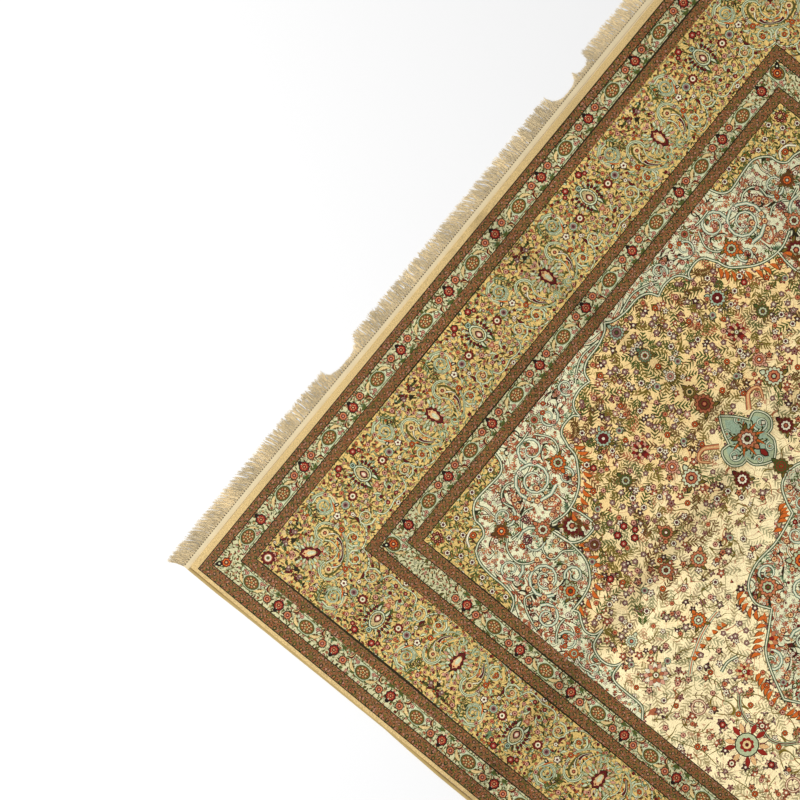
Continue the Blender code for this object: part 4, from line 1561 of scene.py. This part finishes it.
def fold_nearness(coordinate, middle, half_width):
    """One on a straight crease line, falling to nothing at half_width: the mask for the painted shade along
    the folds.
    """
    away = maths("ABSOLUTE", maths("SUBTRACT", coordinate, middle))
    return node("MapRange", {"Value": away, "From Max": half_width, "To Min": 1.0, "To Max": 0.0},
                interpolation_type="SMOOTHSTEP").outputs["Result"]


print("the line yarn is", tuple(round(float(x), 3) for x in dyed("line")))

# %% [markdown]
# The pile's material reads the dyed colour of each triangle, and the fourth number of the yarn's colour says
# which open ground it is. In the field the small flowers stand in loose clusters. Towards the middle a glare
# is painted on the field, as where strong light falls on the silk: its ground is painted paler and its leaves
# fainter.

# %% Open grounds of the silk
# The pale colour of the glare painted over the field's ground.
PAINTED_GLARE_GROUND = (255, 236, 184)
silk_place = node("TexCoord").outputs["Object"]
chart_place = node("UVMap", uv_map="chart").outputs["UV"]
silk_yarn = node("Attribute", attribute_name="yarn").outputs
ground = {name: node("Math", {0: silk_yarn["Alpha"], 1: number, 2: 0.03}, operation="COMPARE").outputs[0]
          for name, number in SOWN.items()}
clusters = noise(chart_place, 13.0, Detail=0.0)
chart_across, chart_height = node("SeparateXYZ", {"Vector": chart_place}).outputs[:2]
uneven_height = maths("ADD", chart_height, mapped(clusters, 0.3, 0.7, -0.12, 0.12))
# Painted glare: one near the middle of the field, falling to nothing towards its ends. Under it the flower
# clusters and thickets thin out, and the sprigs and thickets are painted fainter.
painted_glare = mapped(uneven_height, 0.72, 0.34, 0.0, 1.0)
field_ground = ground["open_straw"]
flower_limit = mapped(painted_glare, 0.0, 1.0, 0.49, 0.53)
ground["clusters"] = times(field_ground, maths("GREATER_THAN", clusters, flower_limit))
leaf_limit = mapped(painted_glare, 0.0, 1.0, 0.50, 0.36)
thickets = times(field_ground, maths("LESS_THAN", clusters, leaf_limit))
leaf_strength_under_glare = mapped(painted_glare, 0.0, 1.0, 1.0, 0.62)
ground["thickets"] = times(thickets, leaf_strength_under_glare)
ground["sprigs"] = times(field_ground, leaf_strength_under_glare)
silk_colour = silk_yarn["Color"]


def lay(share, where, colour):
    """Lay a colour over what is there, by a share, on one ground."""
    global silk_colour
    silk_colour = over(times(share, ground[where]), silk_colour, colour)


# Painted glare: the pale colour is laid over the field's open ground towards the middle.
lay(painted_glare, "open_straw", (*linear(PAINTED_GLARE_GROUND), 1.0))
print(len(ground), "grounds to sow on")

# %% [markdown]
# The layers come as tables, from the ground up: the rings of the brown guards, winding lines, sprigs, leaves
# and flowers. Lengths are in metres, and a row's last yarns are picked from by the form's random number.

# %% Sowing the silk
GUARD_RING_PITCH = 0.0117
GUARD_RINGS = ((0.46, "moss", "line"), (0.31, "rose", "leaf"), (0.15, "line", "coral"))
# Ground, scale, half the gap of a double line, thickness, shift, yarn.
VINE_LAYERS = (
    ("open_gold", 34.0, 0.0, 0.022, 3.1, "olive"), ("open_gold", 46.0, 0.0, 0.020, 7.7, "teal"),
    ("guard_mist", 40.0, 0.0, 0.030, 3.1, "moss"), ("open_straw", 15.0, 0.0, 0.010, 5.3, "olive"),
    ("open_straw", 22.0, 0.0, 0.010, 9.1, "rose"), ("open_mist", 11.0, 0.045, 0.012, 1.9, "line"),
    ("open_mist", 11.0, 0.0, 0.012, 1.9, "rose"), ("open_mist", 21.0, 0.045, 0.013, 6.6, "line"),
    ("open_mist", 21.0, 0.0, 0.012, 6.6, "mist"),
)
# Ground, pitch, shift, length, width, gap of the leaves, yarns.
SPRIG_LAYERS = (
    ("sprigs", 0.040, 0.13, 0.066, 0.026, 0.0102, "olive leaf brown moss olive"),
    ("thickets", 0.043, 0.57, 0.060, 0.024, 0.0090, "leaf brown olive rose leaf"),
    ("open_mist", 0.032, 0.13, 0.036, 0.015, 0.0078, "leaf rose maroon coral teal"),
)
# Ground, pitch, shift, length, width, rim, yarns.
LEAF_LAYERS = (
    ("open_gold", 0.0145, 0.31, 0.0108, 0.0040, "moss", "leaf sage maroon rose line"),
    ("open_gold", 0.0190, 0.77, 0.0140, 0.0048, "leaf", "line sage maroon olive mist"),
    ("guard_mist", 0.0100, 0.31, 0.0092, 0.0036, "moss", "leaf sage line moss maroon"),
)
# Ground, pitch, shift, radius, heart, rims, petals.
FLOWER_LAYERS = (
    ("open_gold", 0.0205, 1.37, 0.0068, "maroon", "brown maroon line maroon moss",
     "pink coral orange ivory rose"),
    ("guard_mist", 0.0150, 1.37, 0.0056, "maroon", "brown maroon leaf brown moss",
     "coral pink peach rose mist"),
    ("open_mist", 0.0180, 1.37, 0.0078, "maroon", "maroon brown maroon brown moss",
     "coral pink ivory rose peach"),
    ("clusters", 0.0310, 1.37, 0.0145, "ivory", "plum line maroon plum line", "mauve plum rose pink mauve"),
    ("open_straw", 0.0600, 1.91, 0.0130, "maroon", "plum line maroon plum line",
     "ivory coral mauve ivory pink"),
    ("open_rust", 0.0086, 2.41, 0.0046, "moss", "line moss brown maroon moss", "rose coral rose pink olive"),
)
PETALS = 5
reach, odd = ring_lattice(chart_place, GUARD_RING_PITCH)
for limit, even_yarn, odd_yarn in GUARD_RINGS:
    lay(maths("LESS_THAN", reach, limit), "open_rust", over(odd, dyed(even_yarn), dyed(odd_yarn)))
for where, scale, apart, thickness, shift, yarn in VINE_LAYERS:
    lay(curling_line(chart_place, scale, apart, thickness, shift), where, dyed(yarn))
for where, *sizes, yarns in SPRIG_LAYERS:
    form, number = small_sprigs(chart_place, *sizes)
    lay(form, where, picked(number, yarns))
for where, pitch, shift, length, width, edge, yarns in LEAF_LAYERS:
    rim, blade, number = small_leaves(chart_place, pitch, shift, length, width)
    lay(rim, where, dyed(edge))
    lay(blade, where, picked(number, yarns))
for where, pitch, shift, radius, middle, rims, petals in FLOWER_LAYERS:
    rim, petal, heart, number = small_flowers(chart_place, pitch, shift, radius, PETALS)
    lay(rim, where, picked(number, rims))
    lay(petal, where, picked(number, petals))
    lay(heart, where, dyed(middle))
print(len(tree.nodes), "nodes so far")

# %% [markdown]
# Hand-knotted silk is never even. Single knots are paler and darker, and each dye lot shows as a faint band.
# Sheen and shade are painted over that: broad patches paler and darker where the pile lies this way and that
# and catches the light differently, painted shade along the folds, and a painted light that brightens the
# middle of the field. All of these multiply the colour, and the knots also give the bump.

# %% Silk pile
FOLD_HALF_WIDTH = 0.050
knots = node("TexNoise", {"Vector": silk_place, "Scale": 420.0, "Detail": 1.0, "Roughness": 0.6})
stretched = node("Mapping", {"Vector": silk_place, "Scale": (1.2, 16.0, 1.0)}).outputs[0]
dye_bands = noise(stretched, 1.0, Detail=3.0, Roughness=0.6)
# Broad patches of painted sheen and shade, where the pile lies this way and that. They also vary the
# roughness.
patches = noise(silk_place, 4.0, Detail=3.0)
split = node("SeparateXYZ", {"Vector": silk_place}).outputs
# Painted shade along the two folds.
painted_fold_shade = maths("MAXIMUM", fold_nearness(split[0], 0.0, FOLD_HALF_WIDTH),
             fold_nearness(split[1], CROSS_CREASE_Y, FOLD_HALF_WIDTH))
inside_frame = maths("LESS_THAN", maths("ABSOLUTE", chart_across), SIDE_LINES["field"] * MM)
# Painted light: the middle of the field is painted brighter.
painted_middle_light = times(inside_frame, mapped(chart_height, 0.62, 0.32, 0.0, 1.0))
shade = mapped(knots.outputs["Fac"], 0.3, 0.7, 0.72, 1.28)
# The knots and the dye bands vary the silk's own tone. The patches, the folds and the middle add painted
# sheen, shade and light.
for value, low, high in ((dye_bands, 0.90, 1.10), (patches, 0.80, 1.22), (painted_fold_shade, 1.0, 0.78),
                         (painted_middle_light, 1.0, 1.10)):
    shade = times(shade, mapped(value, 0.0, 1.0, low, high))
tree.links.new(scaled(silk_colour, shade), silk_shader.inputs["Base Color"])
tree.links.new(mapped(patches, 0.3, 0.7, 0.42, 0.60), silk_shader.inputs["Roughness"])
silk_shader.inputs["Specular IOR Level"].default_value = 0.12
silk_shader.inputs["Sheen Weight"].default_value = 0.02
silk_shader.inputs["Sheen Roughness"].default_value = 0.35
pile_knots = node("TexVoronoi", {"Vector": silk_place, "Scale": 700.0}, distance="CHEBYCHEV")
add_bump(silk_shader, pile_knots.outputs["Distance"], 0.35, 0.0004)
for piece in pile.values():
    piece.data.materials.append(silk)
    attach(piece, "root")
print("silk on", len(pile), "pieces")

# %% [markdown]
# The foundation, the fringe, the dark cones that paint the shade between the knots, and the bindings are
# plain spun yarn. One function makes them all: fine fibres and broad cloudy patches lighten and darken one
# colour, and the fibres also stand out. The fringe's fibres are stretched along its strands.

# %% Cotton and silk thread
def thread_material(name, colour, spread, roughness, thread_scale, stretch=(1.0, 1.0, 1.0)):
    """Plain spun thread, paler and darker by turns, with a fine fibre bump."""
    material, shader = new_material(name)
    place = node("TexCoord").outputs["Object"]
    place = node("Mapping", {"Vector": place, "Scale": stretch}).outputs[0]
    fibre = noise(place, thread_scale, Detail=2.0)
    broad = noise(place, thread_scale / 30, Detail=2.0)
    shade = mapped(maths("ADD", fibre, broad), 0.6, 1.4, 1 - spread, 1 + spread)
    tree.links.new(scaled(tuple(linear(colour)), shade), shader.inputs["Base Color"])
    shader.inputs["Roughness"].default_value = roughness
    shader.inputs["Sheen Weight"].default_value = 0.15
    add_bump(shader, fibre, 0.4, 0.0005)
    return material


cotton = thread_material("end_web", (226, 208, 168), 0.10, 0.75, 700.0)
fringe_thread = thread_material("fringe_thread", (233, 212, 168), 0.36, 0.72, 420.0, (1.0, 0.06, 1.0))
# A dark thread whose colour stands for the shade in the gaps between the fringe's knots.
gap_shade_thread = thread_material("gap_shade_thread", (74, 54, 32), 0.10, 0.80, 500.0)
binding_thread = thread_material("binding_thread", (184, 157, 96), 0.14, 0.65, 500.0)
print("four threads")

# %% [markdown]
# Under the pile lies the foundation, the thin cloth that the knots are tied to. It shows only as a fine edge,
# but it is what makes the rug one sheet. A grid is extruded into a slab and drawn in with the same wandering
# edges.

# %% Foundation
FOUNDATION_HEIGHT = 0.0007
SIDE_GAP = 0.0004
END_GAP = 0.0002


def grid_slab(columns, rows):
    """A flat grid from -1 to 1 and its raised copy, joined by walls, and the upper corners."""
    builder = bmesh.new()
    bmesh.ops.create_grid(builder, x_segments=columns, y_segments=rows, size=1.0)
    raised = bmesh.ops.extrude_face_region(builder, geom=builder.faces[:])
    return builder, set(only(bmesh.types.BMVert, raised))


foundation_builder, upper = grid_slab(24, 30)
bmesh.ops.translate(foundation_builder, verts=list(upper), vec=(0, 0, FOUNDATION_HEIGHT))
grid_verts = foundation_builder.verts[:]
half_sizes = np.array((PILE_HALF_WIDTH - SIDE_GAP, PILE_HALF_LENGTH - END_GAP))
moved = drawn_in(np.array([vert.co[:2] for vert in grid_verts]) * half_sizes)
for vert, (x, y) in zip(grid_verts, moved):
    vert.co.x, vert.co.y = x, y
foundation = finished("foundation", foundation_builder, cotton)

# %% [markdown]
# Each end is finished with a narrow flat weave, in fine ribs. It is a ribbed strip: a fine grid whose every
# second column stands a little higher. It follows the wandering end, as the CAD web does.

# %% Woven ends
WEB_START = PILE_HALF_LENGTH + 0.0004
WEB_END = PILE_HALF_LENGTH + 0.0160
WEB_TOP = 0.0026
RIB_PITCH = 0.0050
RIB_HEIGHT = 0.0003
WEB_CROWN = 0.0009
WEB_HALF_WIDTH = 1.2498
SIDE_AT_END = {1: (float(LEFT_WAVE[1][-1]), float(RIGHT_WAVE[1][-1])),
               -1: (float(LEFT_WAVE[1][0]), float(RIGHT_WAVE[1][0]))}


def end_place(x, side, beyond):
    """A place across one end, drawn in with the rug's corners, and as far out as the end wanders."""
    left, right = SIDE_AT_END[side]
    x = float(x - x / PILE_HALF_WIDTH * np.where(x < 0, left, right))
    return x, beyond + float(-np.interp(x, *(FAR_WAVE if side > 0 else NEAR_WAVE)))


def ribbed_web(name, side):
    """The flat-woven strip at one end."""
    columns = int(round(4 * WEB_HALF_WIDTH / RIB_PITCH))
    builder, high = grid_slab(columns, 2)
    for vert in builder.verts:
        column = int(round((vert.co.x + 1) / 2 * columns))
        share = (vert.co.y + 1) / 2
        x, y = end_place(vert.co.x * WEB_HALF_WIDTH, side, WEB_START + share * (WEB_END - WEB_START))
        top = WEB_TOP + RIB_HEIGHT * (column % 2) - WEB_CROWN * abs(2 * share - 1) ** 3
        vert.co = (x, side * y, top if vert in high else 0.0)
    flatten_underside(builder)
    return finished(name, builder, cotton)


ENDS = (("a", 1), ("b", -1))
ends = {f"end_weave_{end}": ribbed_web(f"end_weave_{end}", side) for end, side in ENDS}

# %% [markdown]
# The fringe is what is left of the warp threads. It is combed to one side near the corner, stands nearly
# straight and frizzy in the middle, and is worn short in three places. Tables say how far the strands lean
# and how frizzy they are. A seeded random generator gives every strand its own lean, so each run makes the
# same fringe.

# %% Plan of the fringe
STRANDS = 2500
FRINGE_SEED = 7
STRAND_LENGTH = 0.050
# Place across the end, lean at the tip.
LEANS = ((-1.25, 0.018), (-1.18, 0.026), (-1.05, 0.024), (-0.95, 0.022), (-0.87, 0.014), (-0.80, 0.004),
         (-0.70, 0.000), (-0.62, -0.003), (-0.45, 0.001), (-0.30, 0.001), (-0.15, 0.003), (-0.05, 0.020),
         (0.05, 0.018), (0.20, 0.006), (0.35, 0.002), (0.60, 0.008), (0.85, 0.014), (1.25, 0.016))
FRIZZ = ((-1.25, 0.0022), (-0.92, 0.0026), (-0.84, 0.0055), (-0.15, 0.0065), (0.0, 0.0045), (0.2, 0.0060),
         (1.25, 0.0050))
# Middle, half width, share of the length that is left.
WORN_STRETCHES = ((-0.535, 0.070, 0.30), (0.435, 0.055, 0.16), (0.515, 0.035, 0.34))


def worn_share(x):
    """What is left of the fringe's length at x on the photographed end."""
    left = 1.0
    for middle, half_width, share in WORN_STRETCHES:
        depth = max(0.0, 1.0 - (abs(x - middle) / half_width) ** 4)
        left = min(left, 1.0 - (1.0 - share) * depth)
    return left


def strand_plan(side):
    """Each strand's root, length, lean and side bend, from left to right."""
    dice = random.Random(FRINGE_SEED)
    plan = []
    for index in range(STRANDS):
        x = -WEB_HALF_WIDTH + (index + dice.uniform(0.1, 0.9)) * 2 * WEB_HALF_WIDTH / STRANDS
        lean = float(np.interp(x, *zip(*LEANS)))
        frizz = float(np.interp(x, *zip(*FRIZZ)))
        bunch = math.sin(index * 0.42) * 0.35 + math.sin(index * 0.173 + 1.0) * 0.5
        share = worn_share(x) if side > 0 else 1.0
        length = STRAND_LENGTH * share * dice.uniform(0.82, 1.04)
        plan.append({"x": x, "length": length, "lean": (lean + frizz * (bunch + dice.gauss(0, 0.45))) * share,
                     "bow": dice.gauss(0, 0.45) * frizz * share, "curl": dice.gauss(0, 0.40) * frizz * share,
                     "lift": dice.uniform(0.4, 1.0), "width": dice.uniform(0.8, 1.25)})
    return plan


print("worn to", round(worn_share(0.435), 2), "of its length at the shortest place")

# %% [markdown]
# Each strand is one thin tapering tube with a bend. All strands of an end start as three-sided discs, and are
# extruded together, ring by ring, while each ring is set to its place.

# %% Fringe
STRAND_RADIUS = 0.00085
ROOT_OVERLAP = 0.0012
# Share of the length, share of the radius, height over the floor.
STRAND_STEPS = ((0.0, 1.0, 0.0016), (0.26, 1.2, 0.0040), (0.52, 1.2, 0.0040), (0.78, 1.0, 0.0030),
                (1.0, 0.4, 0.0016))


def shape_ring(ring_face, strand, step, side):
    """Set the three corners of one ring of a strand."""
    along, width, height = step
    x, y = end_place(strand["x"], side, WEB_END - ROOT_OVERLAP)
    swing = along * along * (1.6 - 0.6 * along)
    x += -strand["lean"] * swing
    x += strand["bow"] * math.sin(math.pi * along)
    x += strand["curl"] * math.sin(2.4 * math.pi * along)
    y += strand["length"] * along
    radius = STRAND_RADIUS * width * strand["width"]
    height = max(height * strand["lift"], radius * 1.1)
    for corner, vert in enumerate(ring_face.verts):
        angle = math.radians(90 + 120 * corner)
        vert.co = (side * (x + radius * math.cos(angle)), side * y, height + radius * math.sin(angle))


def fringe(name, side):
    """All strands of one end."""
    builder = bmesh.new()
    plan = strand_plan(side)
    for _ in plan:
        bmesh.ops.create_circle(builder, cap_ends=True, segments=3, radius=STRAND_RADIUS)
    number = builder.faces.layers.int.new("strand")
    tips = builder.faces[:]
    for index, tip in enumerate(tips):
        tip[number] = index
    for order, step in enumerate(STRAND_STEPS):
        if order:
            tips = bmesh.ops.extrude_discrete_faces(builder, faces=tips)["faces"]
        for tip in tips:
            shape_ring(tip, plan[tip[number]], step, side)
    return finished(name, builder, fringe_thread, ALL_SMOOTH)


for end, side in ENDS:
    ends[f"fringe_strands_{end}"] = fringe(f"fringe_strands_{end}", side)

# %% [markdown]
# Where the weave ends, the strands are tied in a row of small knots. In the gap between each two knots, a low
# dark cone paints the shade that falls there. A knot is a squashed sphere, seeded a little uneven, as fingers
# make it, and each dark cone has four sides.

# %% Row of knots
KNOT_PITCH = 0.0078
KNOT_SEED = 3
KNOT_RADIUS = 0.0022
KNOT_HEIGHT = 0.0019
GAP_SHADE_RADIUS = 0.0020
GAP_SHADE_HEIGHT = 0.0036
KNOT_COUNT = int(2 * WEB_HALF_WIDTH / KNOT_PITCH)
KNOT_LINE = WEB_END - 0.0004


def knot_row(name, side):
    """The knots along one end."""
    dice = random.Random(KNOT_SEED)
    builder = bmesh.new()
    for index in range(KNOT_COUNT):
        x = -WEB_HALF_WIDTH + (index + 0.5) * 2 * WEB_HALF_WIDTH / KNOT_COUNT + dice.uniform(-0.0006, 0.0006)
        x, y = end_place(x, side, KNOT_LINE)
        y += dice.uniform(-0.0004, 0.0004)
        made = bmesh.ops.create_icosphere(builder, subdivisions=1, radius=KNOT_RADIUS)
        bmesh.ops.scale(builder, verts=made["verts"], vec=(dice.uniform(0.75, 0.95), 1.0, 0.62))
        bmesh.ops.translate(builder, verts=made["verts"], vec=(side * x, side * y, KNOT_HEIGHT))
    return finished(name, builder, cotton, ALL_SMOOTH)


def gap_shade_row(name, side):
    """A low dark cone in each gap between two knots, as painted shade for the gap."""
    builder = bmesh.new()
    for index in range(1, KNOT_COUNT):
        x, y = end_place(-WEB_HALF_WIDTH + index * 2 * WEB_HALF_WIDTH / KNOT_COUNT, side, KNOT_LINE)
        made = bmesh.ops.create_cone(builder, segments=4, radius1=GAP_SHADE_RADIUS, radius2=0.0002, depth=0.0010)
        bmesh.ops.translate(builder, verts=made["verts"], vec=(side * x, side * y, GAP_SHADE_HEIGHT))
    return finished(name, builder, gap_shade_thread, ALL_SMOOTH)


for end, side in ENDS:
    ends[f"knots_{end}"] = knot_row(f"knots_{end}", side)
# Painted shade: a dark cone in each gap between the knots.
for end, side in ENDS:
    ends[f"gap_shades_{end}"] = gap_shade_row(f"gap_shades_{end}", side)

# %% [markdown]
# Down each long side the outermost warps are wrapped with silk, which gives a rounded cord with fine slanting
# ribs. A grid is bent over into a low half round, and every second row stands out, which reads as the wraps.

# %% Bound sides
SELVAGE_WIDTH = 0.0105
SELVAGE_CROWN = 0.0052
SELVAGE_FOOT = 0.0012
WRAP_PITCH = 0.0032
WRAP_RIB = 0.00035
WRAP_SLANT = 0.0012


def bound_side(name, side):
    """The overcast cord along the left side, -1, or the right side, 1."""
    rows = int(round(4 * PILE_HALF_LENGTH / WRAP_PITCH))
    builder, high = grid_slab(4, rows)
    verts = builder.verts[:]
    spans = np.array([vert.co[:2] for vert in verts])
    row_numbers = np.round((spans[:, 1] + 1) / 2 * rows).astype(int)
    straight = np.full(len(verts), side * PILE_HALF_WIDTH)
    edge = drawn_in(np.column_stack((straight, spans[:, 1] * PILE_HALF_LENGTH)))
    for vert, (across, _), row, (edge_x, y) in zip(verts, spans, row_numbers, edge):
        crown = math.sqrt(max(0.0, 1 - (0.94 * across) ** 2))
        out = 0.0005 + (1 + across) / 2 * (SELVAGE_WIDTH - 0.0008)
        top = SELVAGE_FOOT + (SELVAGE_CROWN - SELVAGE_FOOT + WRAP_RIB * (row % 2)) * crown
        vert.co = (edge_x + side * out, y + WRAP_SLANT * across, top if vert in high else 0.0)
    flatten_underside(builder)
    return finished(name, builder, binding_thread, 60)


selvages = {"selvage_cord_left": bound_side("selvage_cord_left", -1),
            "selvage_cord_right": bound_side("selvage_cord_right", 1)}

# %% [markdown]
# The CAD solids stay in the file for collision, but each is a plain stand-in, so these pieces take their
# places. The foundation carries the others.

# %% Stand in for the CAD solids
for piece in (foundation, *pile.values()):
    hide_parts("pile_body")
for name in ("end_weave_a", "fringe_strands_a", "knots_a"):
    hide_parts("fringe_end_a")
for name in ("end_weave_b", "fringe_strands_b", "knots_b"):
    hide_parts("fringe_end_b")
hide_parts("selvage_left")
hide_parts("selvage_right")
print("the sheet carries", len(pile) + len(ends) + len(selvages), "pieces")

# %% [markdown]
# The floor is one plain pale plane just under the rug. A big soft lamp high over it gives the even light of a
# studio table, and a pale world fills the shadows, so the dyed colours come out as they were set.

# %% Floor and light
FLOOR_HEIGHT = -0.0004
LAMP_AIM = Vector((-0.4, 0.8, 0))
floor_builder = bmesh.new()
bmesh.ops.create_grid(floor_builder, x_segments=1, y_segments=1, size=9.0)
floor_mesh = bpy.data.meshes.new("floor")
floor_builder.to_mesh(floor_mesh)
floor_builder.free()
floor_mesh.transform(Matrix.Translation((0, 0, FLOOR_HEIGHT)))
floor = bpy.data.objects.new("floor", floor_mesh)
bpy.context.scene.collection.objects.link(floor)
floor_material, floor_shader = new_material("pale_floor")
floor_shader.inputs["Base Color"].default_value = (0.97, 0.97, 0.97, 1)
floor_shader.inputs["Roughness"].default_value = 0.9
floor_mesh.materials.append(floor_material)

world = bpy.data.worlds.new("studio")
world.use_nodes = True
world.node_tree.nodes["Background"].inputs["Color"].default_value = (1.0, 1.0, 1.0, 1)
world.node_tree.nodes["Background"].inputs["Strength"].default_value = 0.48
bpy.context.scene.world = world

lamp_data = bpy.data.lights.new("softbox", "AREA")
lamp_data.shape = "RECTANGLE"
lamp_data.size = 4.0
lamp_data.size_y = 4.0
lamp_data.energy = 330
lamp = bpy.data.objects.new("softbox", lamp_data)
lamp.location = (-3.4, 4.2, 5.2)
lamp.rotation_mode = "QUATERNION"
lamp.rotation_quaternion = (LAMP_AIM - lamp.location).to_track_quat("-Z", "Y")
bpy.context.scene.collection.objects.link(lamp)
bpy.context.scene.view_settings.view_transform = "Standard"
print("lamp of", lamp_data.energy, "watts")

# %% [markdown]
# Last, the scene is brought up to date.

# %% Finish
bpy.context.view_layer.update()
